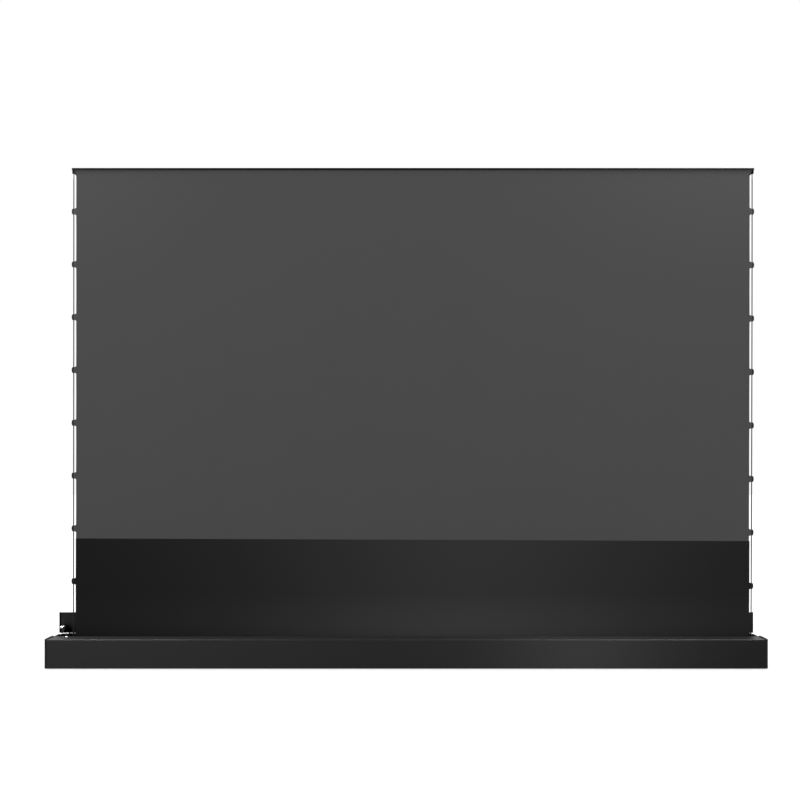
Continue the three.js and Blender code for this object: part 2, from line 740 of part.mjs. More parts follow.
function buildLid(parent) {
  parent.add(lidGroup);
  add(lidGroup, "lid_panel", lidPanel(), blackPaint());
  add(lidGroup, "lid_end_left", lidEnd(-1), blackPlastic());
  add(lidGroup, "lid_end_right", lidEnd(1), blackPlastic());
  add(lidGroup, "lid_lug", lidLug(), glossBlack());
  const pinAt = [0, -CRANK_FORWARD, CRANK_RISE];
  const lugPin = headedPin(lugLeft - FIT, LUG_PIN_HEAD_LENGTH, linkRight + FIT, pinAt);
  add(lidGroup, "lid_lug_pin", lugPin, brightSteel());

  const crankGroup = new THREE.Group();
  crankGroup.position.set(0, crankY, crankZ);
  parent.add(crankGroup);
  add(crankGroup, "lid_crank", crank(), glossBlack());
  const shaft = disc(CRANK_SHAFT_RADIUS, crankLeft, gearboxRight - GEARBOX_WALL - FIT, "x");
  add(crankGroup, "crank_shaft", shaft, brightSteel());
  const crankPin = headedPin(linkLeft - FIT, OPENER_PIN_HEAD_THICKNESS, crankRight, pinAt);
  add(crankGroup, "crank_pin", crankPin, brightSteel());

  const linkGroup = new THREE.Group();
  linkGroup.position.set(0, -CRANK_FORWARD, CRANK_RISE);
  crankGroup.add(linkGroup);
  add(linkGroup, "lid_link", link(), glossBlack());
}

// Roller, drawn about its axis

function rollerBracket(x0, footSide, hole) {
  const floor = trayTop + FIT;
  const top = CASE_HEIGHT - BRACKET_ROOM;
  const plate = rectangle(rollerY - BRACKET_HALF_WIDTH, floor, rollerY + BRACKET_HALF_WIDTH, top);
  const cheek = alongX(plate, x0, x0 + BRACKET_WALL);
  const footFrom = footSide > 0 ? x0 : x0 + BRACKET_WALL - BRACKET_FOOT;
  const foot = block(
    footFrom,
    footFrom + BRACKET_FOOT,
    rollerY - BRACKET_HALF_WIDTH,
    rollerY + BRACKET_HALF_WIDTH,
    floor,
    floor + BRACKET_WALL,
  );
  const bore = disc(hole, x0 - OVERRUN, x0 + BRACKET_WALL + OVERRUN, "x", [0, rollerY, ROLLER_HEIGHT]);
  return cheek.add(foot).subtract(bore);
}

function idlePlug() {
  const bore = TUBE_RADIUS - TUBE_WALL - FIT;
  const profile = [
    [0, tubeLeft - FIT - IDLE_RIM],
    [TUBE_RADIUS, tubeLeft - FIT - IDLE_RIM],
    [TUBE_RADIUS, tubeLeft - FIT],
    [bore, tubeLeft - FIT],
    [bore, tubeLeft + IDLE_PLUG_LENGTH],
    [0, tubeLeft + IDLE_PLUG_LENGTH],
  ];
  const hole = disc(
    IDLE_PIN_RADIUS + FIT,
    tubeLeft - IDLE_RIM - OVERRUN,
    tubeLeft + IDLE_PLUG_LENGTH + OVERRUN,
    "x",
  );
  return turned(profile, "x").subtract(hole);
}

const motorEnd = motorHeadX - MOTOR_LENGTH;

function tubularMotor() {
  const headEnd = motorHeadX + MOTOR_HEAD_THICKNESS;
  const profile = [
    [0, motorEnd - MOTOR_SHAFT_LENGTH],
    [MOTOR_SHAFT_RADIUS, motorEnd - MOTOR_SHAFT_LENGTH],
    [MOTOR_SHAFT_RADIUS, motorEnd],
    [MOTOR_RADIUS, motorEnd],
    [MOTOR_RADIUS, motorHeadX],
    [MOTOR_HEAD_RADIUS, motorHeadX],
    [MOTOR_HEAD_RADIUS, headEnd],
    [MOTOR_STUB_RADIUS, headEnd],
    [MOTOR_STUB_RADIUS, headEnd + FIT + BRACKET_WALL],
    [0, headEnd + FIT + BRACKET_WALL],
  ];
  return turned(profile, "x", [0, rollerY, ROLLER_HEIGHT], ROLLER_STEPS);
}

function buildRoller(parent) {
  add(parent, "roller_bracket_left", rollerBracket(leftBracketX, 1, IDLE_PIN_RADIUS + FIT), blackPaint());
  const rightHole = MOTOR_STUB_RADIUS + FIT;
  add(parent, "roller_bracket_right", rollerBracket(rightBracketX, -1, rightHole), blackPaint());
  const pinHead = leftBracketX - FIT - IDLE_RIM;
  const pin = turned(
    [
      [0, pinHead],
      [IDLE_PIN_RADIUS + IDLE_RIM, pinHead],
      [IDLE_PIN_RADIUS + IDLE_RIM, pinHead + IDLE_RIM],
      [IDLE_PIN_RADIUS, pinHead + IDLE_RIM],
      [IDLE_PIN_RADIUS, tubeLeft + IDLE_PLUG_LENGTH],
      [0, tubeLeft + IDLE_PLUG_LENGTH],
    ],
    "x",
    [0, rollerY, ROLLER_HEIGHT],
  );
  add(parent, "idle_pin", pin, brightSteel());
  add(parent, "tubular_motor", tubularMotor(), blackPaint());

  const roller = new THREE.Group();
  roller.position.set(0, rollerY, ROLLER_HEIGHT);
  parent.add(roller);
  const centre = [0, 0, 0];
  const tubeBore = TUBE_RADIUS - TUBE_WALL;
  const tube = ring(tubeBore, TUBE_RADIUS, tubeLeft, tubeRight, "x", centre, ROLLER_STEPS);
  add(roller, "roller_tube", tube, rawAluminium());
  const turnBore = TUBE_RADIUS + FIT;
  const wraps = ring(turnBore, wrapRadius, fabricLeft, fabricRight, "x", centre, ROLLER_STEPS);
  add(roller, "fabric_wraps", wraps, blackSheet());
  const leftSpool = fabricLeft - CORD_OFFSET - SPOOL_WIDTH / 2;
  const rightSpool = fabricRight + CORD_OFFSET - SPOOL_WIDTH / 2;
  for (const [name, from] of [
    ["cord_spool_left", leftSpool],
    ["cord_spool_right", rightSpool],
  ])
    add(
      roller,
      name,
      ring(turnBore, spoolRadius, from, from + SPOOL_WIDTH, "x", centre, ROLLER_STEPS),
      blackPlastic(),
    );
  add(roller, "idle_plug", idlePlug(), blackPlastic());
  const crownTo = motorEnd - PLAY;
  const crownBore = MOTOR_SHAFT_RADIUS + FIT;
  const crown = ring(crownBore, tubeBore - FIT, crownTo - CROWN_LENGTH, crownTo, "x", centre, ROLLER_STEPS);
  add(roller, "drive_crown", crown, blackPlastic());
}

// Sheet, tabs and cords

const sheetTop = SCREEN_TOP - BAR_WALL - FIT;

function viewingSurface() {
  const edge = outline([
    [fabricLeft, DROP_TOP_LEFT + FIT / 2],
    [fabricRight, DROP_TOP_RIGHT + FIT / 2],
    [fabricRight, sheetTop],
    [fabricLeft, sheetTop],
  ]);
  return alongY(edge, fabricY - FABRIC_THICKNESS / 2, fabricBack);
}

function blackDrop() {
  const edge = outline([
    [fabricLeft, ROLLER_HEIGHT],
    [fabricRight, ROLLER_HEIGHT],
    [fabricRight, DROP_TOP_RIGHT - FIT / 2],
    [fabricLeft, DROP_TOP_LEFT - FIT / 2],
  ]);
  return alongY(edge, fabricY - FABRIC_THICKNESS / 2, fabricBack);
}

function tabHeights(pitch) {
  const heights = [];
  for (let z = SCREEN_TOP - TAB_FIRST_DROP; z > TAB_LEAST_HEIGHT; z -= pitch) heights.push(z);
  return heights;
}

// A band along the sheet's edge, with a flap in the corner under the bar and a tab for each clip, which
// narrows towards the cord.
function tabStrip(side) {
  const heights = tabHeights(side < 0 ? TAB_PITCH_LEFT : TAB_PITCH_RIGHT);
  const edge = side < 0 ? fabricLeft : fabricRight;
  const inner = edge - side * TAB_BAND;
  const cordSide = edge + side * (CORD_OFFSET + CORD_RADIUS);
  const tip = edge + side * (CORD_OFFSET + CLIP_REACH);
  const finger = edge + side * fingerInset;
  const points = [
    [inner, sheetTop - battenHeight - FIT],
    [edge + side * FIT, sheetTop - battenHeight - FIT],
    [edge + side * FIT, sheetTop],
    [finger, sheetTop],
    [finger, SCREEN_TOP - HOOK_DROP + HOOK_STRAP * 1.5],
    [edge, SCREEN_TOP - HOOK_STRAP_DROP + HOOK_STRAP],
  ];
  for (const middle of heights)
    points.push(
      [edge, middle + TAB_ROOT_HEIGHT / 2],
      [cordSide, middle + TAB_TIP_HEIGHT / 2],
      [tip, middle + TAB_TIP_HEIGHT / 2, CLIP_REACH / 3],
      [tip, middle - TAB_TIP_HEIGHT / 2, CLIP_REACH / 3],
      [cordSide, middle - TAB_TIP_HEIGHT / 2],
      [edge, middle - TAB_ROOT_HEIGHT / 2],
    );
  points.push([edge, ROLLER_HEIGHT], [inner, ROLLER_HEIGHT]);
  let solid = alongY(outline(points), tabY, tabY + TAB_THICKNESS);
  for (const middle of heights) {
    const clipFrom = cordSide + side * FIT;
    const clip = outline([
      [clipFrom, middle - CLIP_HEIGHT / 2],
      [tip, middle - CLIP_HEIGHT / 2, CLIP_RADIUS],
      [tip, middle + CLIP_HEIGHT / 2, CLIP_RADIUS],
      [clipFrom, middle + CLIP_HEIGHT / 2],
    ]);
    solid = solid.add(alongY(clip, tabY, tabY + CLIP_THICKNESS));
  }
  return solid;
}

function tensionCord(side) {
  const x = side < 0 ? fabricLeft - CORD_OFFSET : fabricRight + CORD_OFFSET;
  const top = [x, cordY, SCREEN_TOP - HOOK_DROP - FIT];
  const bottom = [x, cordY, ROLLER_HEIGHT];
  return cable([top, bottom], CORD_RADIUS, CORD_SIDES, CORD_STEPS);
}

function buildSheet(parent) {
  add(parent, "screen_surface", viewingSurface(), greySheet());
  add(parent, "black_drop", blackDrop(), blackSheet());
  add(parent, "tab_strip_left", tabStrip(-1), greySheet());
  add(parent, "tab_strip_right", tabStrip(1), greySheet());
  add(parent, "tension_cord_left", tensionCord(-1), greyCord());
  add(parent, "tension_cord_right", tensionCord(1), greyCord());
}

// Scissor lift

// A flat arm along +X from x0, with a hole at both ends and in the middle.
function arm(x0, y0) {
  const bar = eyeBar(x0, 0, ARM_WIDTH / 2, x0 + armPitch, 0, ARM_WIDTH / 2);
  let solid = alongY(bar, y0, y0 + ARM_THICKNESS, 3 * CURVE_STEPS);
  for (const share of [0, 0.5, 1])
    solid = solid.subtract(
      disc(RIVET_RADIUS + FIT, y0 - OVERRUN, y0 + ARM_THICKNESS + OVERRUN, "y", [
        x0 + share * armPitch,
        0,
        0,
      ]),
    );
  return solid;
}

function elbowRivet() {
  const from = frontLayer - FIT - RIVET_HEAD_THICKNESS;
  const to = rearLayer + ARM_THICKNESS + FIT + RIVET_HEAD_THICKNESS;
  return rivet(from, to, RIVET_RADIUS, RIVET_HEAD_RADIUS, RIVET_HEAD_THICKNESS);
}

// A pin through both walls of a channel and the arm between them.
function channelPin() {
  const from = channelFront - FIT - RIVET_HEAD_THICKNESS;
  const to = channelBack + FIT + RIVET_HEAD_THICKNESS;
  return rivet(from, to, RIVET_RADIUS, RIVET_HEAD_RADIUS, RIVET_HEAD_THICKNESS);
}

function channelHole(x) {
  return disc(RIVET_RADIUS + FIT, channelFront - OVERRUN, channelBack + OVERRUN, "y", [x, 0, 0]);
}

function baseRail() {
  const floor = trayTop + FIT - basePivotZ;
  const section = outline([
    [channelFront, floor],
    [channelBack, floor],
    [channelBack, RAIL_RISE],
    [channelInner, RAIL_RISE],
    [channelInner, railFloor - basePivotZ],
    [channelFront + CHANNEL_WALL, railFloor - basePivotZ],
    [channelFront + CHANNEL_WALL, RAIL_RISE],
    [channelFront, RAIL_RISE],
  ]);
  return alongX(section, -RAIL_OVERHANG, railRight - basePivotX).subtract(channelHole(0));
}

// The lower shoe slides in the base rail in front of the rear arm, and its tail takes the spring's rod.
function lowerShoe() {
  const slideFront = channelFront + CHANNEL_WALL + FIT;
  const slideBack = channelInner - FIT;
  const low = railFloor - basePivotZ + FIT;
  const high = low + SHOE_HEIGHT;
  const tailFrom = ARM_WIDTH / 2 + PLAY;
  const body = block(-SHOE_LENGTH / 2, SHOE_LENGTH / 2, slideFront, rearLayer - FIT, low, high);
  const tail = block(tailFrom, SHOE_LENGTH / 2, slideFront, slideBack, low, high);
  const stub = disc(RIVET_RADIUS, slideFront + FIT, slideBack, "y");
  return body.add(tail).add(stub);
}

function upperShoe() {
  const slideBack = channelInner - FIT;
  const high = ARM_WIDTH / 2 + HEAD_ROOM - FIT;
  const body = block(
    -SHOE_LENGTH / 2,
    SHOE_LENGTH / 2,
    frontLayer + ARM_THICKNESS + FIT,
    slideBack,
    high - SHOE_HEIGHT,
    high,
  );
  const stub = disc(RIVET_RADIUS, channelFront + CHANNEL_WALL + FIT, slideBack - FIT, "y");
  return body.add(stub);
}

const springY = (channelFront + CHANNEL_WALL + channelInner) / 2;

function springCylinder() {
  const profile = [
    [0, springRight - SPRING_WALL],
    [springRadius - SPRING_WALL, springRight - SPRING_WALL],
    [springRadius - SPRING_WALL, springLeft],
    [springRadius, springLeft],
    [springRadius, springRight],
    [0, springRight],
  ];
  return turned(profile, "x", [0, springY, basePivotZ]);
}

// The rod runs from the shoe's tail into the cylinder, drawn from the shoe's pivot.
function springRod() {
  const from = SHOE_LENGTH / 2 + FIT;
  const to = springLeft + SPRING_LAP - basePivotX - raisedSpan;
  return disc(SPRING_ROD_RADIUS, from, to, "x", [0, springY, 0]);
}

// Top bar, drawn from its left pivot

function topBar() {
  const left = fabricLeft - BAR_OVERHANG - basePivotX;
  const right = fabricRight + BAR_OVERHANG - basePivotX;
  const webLeft = fabricLeft + BAR_WEB_INSET - basePivotX;
  const webRight = fabricRight - BAR_WEB_INSET - basePivotX;
  const top = barPivotDrop;
  const nose = fabricY - FABRIC_THICKNESS / 2 - BAR_GAP - BAR_WALL;
  const cap = outline([
    [nose, top, BAR_WALL / 2],
    [nose, top - BAR_LIP],
    [nose + BAR_WALL, top - BAR_LIP],
    [nose + BAR_WALL, top - BAR_WALL],
    [channelBack, top - BAR_WALL],
    [channelBack, top],
  ]);
  const webs = [
    [channelFront, channelFront + CHANNEL_WALL],
    [channelInner, channelBack],
  ];
  let solid = alongX(cap, left, right);
  for (const [y0, y1] of webs)
    solid = solid.add(block(webLeft, webRight, y0, y1, -BAR_WEB_DROP, top - BAR_WALL / 2));
  return solid.subtract(channelHole(0));
}

// The batten backs the sheet's upper edge and is held under the bar's top, ahead of the front web.
function batten() {
  const top = barPivotDrop - BAR_WALL - FIT;
  return block(
    fabricLeft - basePivotX,
    fabricRight - basePivotX,
    fabricBack + FIT,
    channelFront - FIT,
    top - battenHeight,
    top,
  );
}

// A finger down from the bar's end for the cord, and a strap that slants in to the sheet's corner.
function cornerHook(side) {
  const edge = (side < 0 ? fabricLeft : fabricRight) - basePivotX;
  const end = edge + side * (BAR_OVERHANG - FIT);
  const corner = edge - side * HOOK_LAP;
  const fingerInner = edge + side * fingerInset;
  const top = barPivotDrop - BAR_WALL - FIT;
  const base = barPivotDrop - HOOK_DROP;
  const low = barPivotDrop - HOOK_STRAP_DROP;
  const section = outline([
    [end, top],
    [end, base, HOOK_RADIUS],
    [fingerInner, base],
    [corner + (side * HOOK_LAP) / 2, low],
    [corner, low + HOOK_STRAP],
    [fingerInner, base + HOOK_STRAP * 1.5],
    [fingerInner, top],
  ]);
  return alongY(section, cordY - HOOK_THICKNESS / 2, cordY + HOOK_THICKNESS / 2);
}

function buildLift(parent) {
  const base = hang(parent, basePivotX, basePivotZ, 0);
  add(base, "base_rail", baseRail(), blackPaint());
  add(base, "base_pivot_pin", channelPin(), brightSteel());
  add(parent, "gas_spring_cylinder", springCylinder(), blackPaint());

  const straight = Math.PI - raisedAngle;
  const cross = Math.PI - 2 * raisedAngle;
  const lowerFront = hang(base, 0, 0, raisedAngle);
  add(lowerFront, "lower_arm_front", arm(0, frontLayer), blackPaint());

  const lowerRear = hang(lowerFront, armPitch / 2, 0, cross);
  add(lowerRear, "lower_arm_rear", arm(-armPitch / 2, rearLayer), blackPaint());
  add(lowerRear, "lower_center_rivet", elbowRivet(), brightSteel());
  const shoe = hang(lowerRear, -armPitch / 2, 0, -straight);
  add(shoe, "lower_shoe", lowerShoe(), blackPlastic());
  add(shoe, "gas_spring_rod", springRod(), brightSteel());

  const upperRear = hang(lowerFront, armPitch, 0, cross);
  add(upperRear, "upper_arm_rear", arm(0, rearLayer), blackPaint());
  add(upperRear, "right_elbow_rivet", elbowRivet(), brightSteel());
  const upperFront = hang(upperRear, armPitch / 2, 0, -cross);
  add(upperFront, "upper_arm_front", arm(-armPitch / 2, frontLayer), blackPaint());
  add(upperFront, "upper_center_rivet", elbowRivet(), brightSteel());
  const leftElbow = hang(upperFront, -armPitch / 2, 0, 0);
  add(leftElbow, "left_elbow_rivet", elbowRivet(), brightSteel());
  const topShoe = hang(upperFront, armPitch / 2, 0, -raisedAngle);
  add(topShoe, "upper_shoe", upperShoe(), blackPlastic());

  const bar = hang(upperRear, armPitch, 0, -straight);
  add(bar, "top_bar", topBar(), blackPaint());
  add(bar, "top_pivot_pin", channelPin(), brightSteel());
  add(bar, "fabric_batten", batten(), rawAluminium());
  add(bar, "corner_hook_left", cornerHook(-1), blackPaint());
  add(bar, "corner_hook_right", cornerHook(1), blackPaint());
}

// Electrics

const controlRight = caseLength / 2 - CONTROL_INSET;
const controlLeft = controlRight - CONTROL_LENGTH;
const controlBack = innerRear - CONTROL_BACKSET;
const controlFront = channelBack + CONTROL_ROOM;
const controlFloor = trayTop + FIT;

function controlUnit() {
  const radius = Math.min(CONTROL_RADIUS, (controlBack - controlFront) / 3);
  const top = controlFloor + CONTROL_HEIGHT;
  const section = rectangle(controlFront, controlFloor, controlBack, top, radius);
  return alongX(section, controlLeft, controlRight);
}

function powerInlet() {
  const halfWidth = INLET_WIDTH / 2;
  const halfHeight = INLET_HEIGHT / 2;
  const middle = INLET_LEVEL;
  const front = rearFace - INLET_DEPTH;
  const body = block(
    inletX - halfWidth,
    inletX + halfWidth,
    front,
    rearFace - FIT,
    middle - halfHeight,
    middle + halfHeight,
  );
  const rim = block(
    inletX - halfWidth - INLET_RIM,
    inletX + halfWidth + INLET_RIM,
    innerRear - INLET_RIM_THICKNESS,
    innerRear,
    middle - halfHeight - INLET_RIM,
    middle + halfHeight + INLET_RIM,
  );
  const recess = block(
    inletX - halfWidth + INLET_WALL,
    inletX + halfWidth - INLET_WALL,
    rearFace - INLET_RECESS,
    rearFace + OVERRUN,
    middle - halfHeight + INLET_WALL,
    middle + halfHeight - INLET_WALL,
  );
  return body.add(rim).subtract(recess);
}

function buildElectrics(parent) {
  add(parent, "control_unit", controlUnit(), blackPlastic());
  add(parent, "power_inlet", powerInlet(), blackPlastic());
  const { solid, canY, canZ } = lidMotor();
  add(parent, "lid_motor", solid, blackPaint());

  const onTray = trayTop + FIT + BRACKET_WALL + PLAY + CABLE_RADIUS;
  const cableY = (controlFront + controlBack) / 2;
  const headUnder = ROLLER_HEIGHT - MOTOR_HEAD_RADIUS - FIT;
  const motorRoute = [
    [motorCableX, rollerY, headUnder],
    [motorCableX, rollerY, onTray + CABLE_FALL_SHARE * (headUnder - onTray)],
    [motorCableX, rollerY + CABLE_BEND, onTray],
    [motorCableX, rollerY + 2 * CABLE_BEND, onTray],
    [motorCableX, cableY - 2 * CABLE_BEND, onTray],
    [motorCableX, cableY - CABLE_BEND, onTray],
    [motorCableX - CABLE_BEND, cableY, onTray],
    [motorCableX - 2 * CABLE_BEND, cableY, onTray],
    [controlRight + FIT, cableY, onTray],
  ];
  const canEnd = gearboxRight + MOTOR_CAN_LENGTH + FIT;
  const lidRoute = [
    [canEnd, canY, canZ],
    [canEnd + CABLE_BEND, canY, canZ],
    [canEnd + 3 * CABLE_BEND, cableY, onTray],
    [canEnd + 4 * CABLE_BEND, cableY, onTray],
    [controlLeft - FIT, cableY, onTray],
  ];
  for (const [name, route] of [
    ["motor_cable", motorRoute],
    ["lid_motor_cable", lidRoute],
  ])
    add(parent, name, cable(route, CABLE_RADIUS, CABLE_SIDES, CABLE_SPAN_STEPS), rubber());
}

buildCase(screen);
buildLid(screen);
buildRoller(screen);
buildSheet(screen);
buildLift(screen);
buildElectrics(screen);

export default screen;
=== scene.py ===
# %% [markdown]
# # A projection screen that rises out of its case
#
# The real thing is a long black case on the floor. A motor in the case turns a roller, a grey
# sheet with a black lower part comes up through a slot, and a folding lift behind it pushes the top
# bar up. The solids of every hard piece come from the CAD model. This file gives them their
# finishes and rounded edges, and makes the soft pieces again as cloth, cord and clips, which the
# solids only hold room for.

# %% Load the model
import json
import math

import bmesh
import bpy
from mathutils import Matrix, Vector


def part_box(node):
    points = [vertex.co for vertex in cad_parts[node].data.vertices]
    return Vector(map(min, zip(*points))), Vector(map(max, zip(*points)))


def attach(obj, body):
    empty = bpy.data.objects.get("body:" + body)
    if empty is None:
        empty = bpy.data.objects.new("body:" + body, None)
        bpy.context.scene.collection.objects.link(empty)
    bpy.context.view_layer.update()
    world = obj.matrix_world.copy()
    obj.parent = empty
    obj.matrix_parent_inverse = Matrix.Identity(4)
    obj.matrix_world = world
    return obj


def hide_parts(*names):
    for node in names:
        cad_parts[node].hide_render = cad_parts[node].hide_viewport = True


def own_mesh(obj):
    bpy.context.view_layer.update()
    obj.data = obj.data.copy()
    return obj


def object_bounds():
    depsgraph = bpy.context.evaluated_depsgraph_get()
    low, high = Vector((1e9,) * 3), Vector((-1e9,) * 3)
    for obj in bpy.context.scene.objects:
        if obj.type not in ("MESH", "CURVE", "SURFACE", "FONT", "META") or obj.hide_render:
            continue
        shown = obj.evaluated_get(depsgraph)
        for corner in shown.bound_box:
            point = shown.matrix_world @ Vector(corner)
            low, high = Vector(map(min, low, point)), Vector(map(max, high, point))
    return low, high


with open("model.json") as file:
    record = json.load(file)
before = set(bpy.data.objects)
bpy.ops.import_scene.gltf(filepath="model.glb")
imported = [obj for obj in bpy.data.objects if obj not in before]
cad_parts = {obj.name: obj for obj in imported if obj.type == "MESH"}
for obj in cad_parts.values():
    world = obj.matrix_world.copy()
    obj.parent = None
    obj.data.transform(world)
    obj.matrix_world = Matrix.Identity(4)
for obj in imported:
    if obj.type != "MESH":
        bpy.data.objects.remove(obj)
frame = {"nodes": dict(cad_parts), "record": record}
cad_low, cad_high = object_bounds()
nodes = frame["nodes"]
print("CAD box", [round(v, 4) for v in (*cad_low, *cad_high)])

# %% [markdown]
# ## Camera
#
# The camera stands in front of the screen at about the height of a seated eye and looks straight
# at it. To show the high screen it could be tilted up, but then upright edges lean. Here the lens
# is shifted up instead, as a view camera's is, which keeps the sheet a true rectangle.

# %% Place the camera
MM = 0.001
FRAME_PIXELS = 800
FOCAL_PIXELS = 1032
CENTRE_PIXEL_X = 407.19
CENTRE_PIXEL_Y = 470.86
SENSOR_WIDTH = 36
CAMERA_PLACE = Vector((0.004, -4.258, 0.802))
FAR_CLIP = 100

camera_data = bpy.data.cameras.new("camera")
camera_data.sensor_width = SENSOR_WIDTH
camera_data.lens = SENSOR_WIDTH * FOCAL_PIXELS / FRAME_PIXELS
camera_data.shift_x = (FRAME_PIXELS / 2 - CENTRE_PIXEL_X) / FRAME_PIXELS
camera_data.shift_y = (CENTRE_PIXEL_Y - FRAME_PIXELS / 2) / FRAME_PIXELS
camera_data.clip_end = FAR_CLIP
camera = bpy.data.objects.new("camera", camera_data)
camera.location = CAMERA_PLACE
camera.rotation_euler = (math.radians(90), 0, 0)
scene = bpy.context.scene
scene.collection.objects.link(camera)
scene.camera = camera
print("lens", round(camera_data.lens, 2), "mm")

# %% [markdown]
# ## Tension cords
#
# A thin braided cord runs down each side from the corner hook to its spool on the roller. It is
# pulled tight, so it has no sag. A curve with a round bevel would do, but each cord is a mesh, a
# tube of rings along its line. Near its foot the cloth has run a little to the left, on its right
# side more, and the cords with it.

# %% Helpers for pieces and their meshes
def new_piece(name, mesh, body):
    piece = bpy.data.objects.new(name, mesh)
    scene.collection.objects.link(piece)
    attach(piece, body)
    return piece


def fill_mesh(mesh, shape, smooth=True):
    """Put a shape into a mesh, with all its faces turned outwards."""
    bmesh.ops.recalc_face_normals(shape, faces=shape.faces)
    shape.to_mesh(mesh)
    shape.free()
    for face in mesh.polygons:
        face.use_smooth = smooth
    return mesh


def mesh_of(name, points, faces, smooth=True):
    mesh = bpy.data.meshes.new(name)
    mesh.from_pydata([tuple(p) for p in points], [], faces)
    shape = bmesh.new()
    shape.from_mesh(mesh)
    return fill_mesh(mesh, shape, smooth)


def built_piece(name, shape, body):
    return new_piece(name, fill_mesh(bpy.data.meshes.new(name), shape), body)


def tube_mesh(name, line, radius, sides=10):
    """A closed tube of rings, each square to the line."""
    points = []
    faces = []
    side = None
    for i, place in enumerate(line):
        ahead = (line[min(i + 1, len(line) - 1)] - line[max(i - 1, 0)]).normalized()
        if side is None:
            side = ahead.orthogonal().normalized()
        side = (side - ahead * side.dot(ahead)).normalized()
        up = ahead.cross(side)
        for k in range(sides):
            angle = 2 * math.pi * k / sides
            points.append(place + radius * (math.cos(angle) * side + math.sin(angle) * up))
    for i in range(len(line) - 1):
        for k in range(sides):
            a, b = i * sides + k, i * sides + (k + 1) % sides
            faces.append((a, b, b + sides, a + sides))
    faces.append(tuple(range(sides)))
    faces.append(tuple(range(len(points) - sides, len(points))))
    return mesh_of(name, points, faces)


# %% Own meshes and lean, which cords and cloth share
SIDES = {"left": -1, "right": 1}
FOOT_LEAN = {"left": 1.6 * MM, "right": 5 * MM}
roller_axis_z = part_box("black_drop")[0].z


def squash_down(piece):
    """Give the piece a mesh of its own."""
    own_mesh(piece)


def lean(z, side):
    """How far the cloth and its cord have run to the left at this height."""
    return FOOT_LEAN[side] * ((cad_high.z - z) / (cad_high.z - roller_axis_z)) ** 2


print("folds at", round(roller_axis_z, 4))

# %% The two cords
CORD_STEPS = 60
CORD_RADIUS = 2.25 * MM
cords = {}
for side in SIDES:
    low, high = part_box(f"tension_cord_{side}")
    x, y = (low.x + high.x) / 2, (low.y + high.y) / 2
    steps = [i / CORD_STEPS for i in range(CORD_STEPS + 1)]
    line = [Vector((x, y, high.z + (low.z - high.z) * t)) for t in steps]
    for place in line:
        place.x -= lean(place.z, side)
    mesh = tube_mesh(f"cord_{side}", line, CORD_RADIUS)
    cord = new_piece(f"cord_{side}", mesh, "case")
    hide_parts(f"tension_cord_{side}")
    squash_down(cord)
    cords[side] = cord
    print(cord.name, "length", round(high.z - low.z, 4))

# %% [markdown]
# ## Effects that several finishes share
#
# A finish is more than a colour: paint has a fine grain that scatters the light, a handled edge is
# a little brighter, and dust settles on what faces up. A long face is never evenly lit either, and
# here that uneven light is painted into the colour as a broad highlight. Each such effect could be
# built again in every material, but then a change means many edits. Here each is a node group with
# its own inputs, and a material only gives it values. The groups put out masks and normals, and the
# shader stays outside.

# %% Helpers for node trees
def add_node(tree, kind, values=None, **settings):
    """A node with its settings, and each input a value or another node's output."""
    node = tree.nodes.new("ShaderNode" + kind)
    for key, value in settings.items():
        setattr(node, key, value)
    for key, value in (values or {}).items():
        if isinstance(value, bpy.types.NodeSocket):
            tree.links.new(value, node.inputs[key])
        else:
            node.inputs[key].default_value = value
    return node


def new_group(name, inputs, outputs):
    tree = bpy.data.node_groups.new(name, "ShaderNodeTree")
    for label, kind, value in inputs:
        socket = tree.interface.new_socket(label, in_out="INPUT", socket_type="NodeSocket" + kind)
        socket.default_value = value
    for label, kind in outputs:
        tree.interface.new_socket(label, in_out="OUTPUT", socket_type="NodeSocket" + kind)
    start = tree.nodes.new("NodeGroupInput")
    end = tree.nodes.new("NodeGroupOutput")
    return tree, start.outputs, lambda label, socket: tree.links.new(socket, end.inputs[label])


def math_node(tree, operation, a, b=0.0, clamp=False):
    node = add_node(tree, "Math", {0: a, 1: b}, operation=operation, use_clamp=clamp)
    return node.outputs[0]


# %% Grain: a fine unevenness, drawn out along any axis
grain_group, grain_in, grain_out = new_group(
    "grain",
    [("Scale", "Float", 400.0), ("Stretch", "Vector", (1, 1, 1)), ("Depth", "Float", 0.1)],
    [("Grain", "Float"), ("Normal", "Vector")],
)
grain_place = add_node(grain_group, "TexCoord").outputs["Object"]
grain_drawn = add_node(
    grain_group, "VectorMath", {0: grain_place, 1: grain_in["Stretch"]}, operation="MULTIPLY"
).outputs[0]
grain_noise = add_node(
    grain_group,
    "TexNoise",
    {"Vector": grain_drawn, "Scale": grain_in["Scale"], "Detail": 4.0, "Roughness": 0.6},
).outputs["Fac"]
grain_bump = add_node(
    grain_group,
    "Bump",
    {"Strength": grain_in["Depth"], "Distance": 0.3 * MM, "Height": grain_noise},
).outputs["Normal"]
grain_out("Grain", grain_noise)
grain_out("Normal", grain_bump)

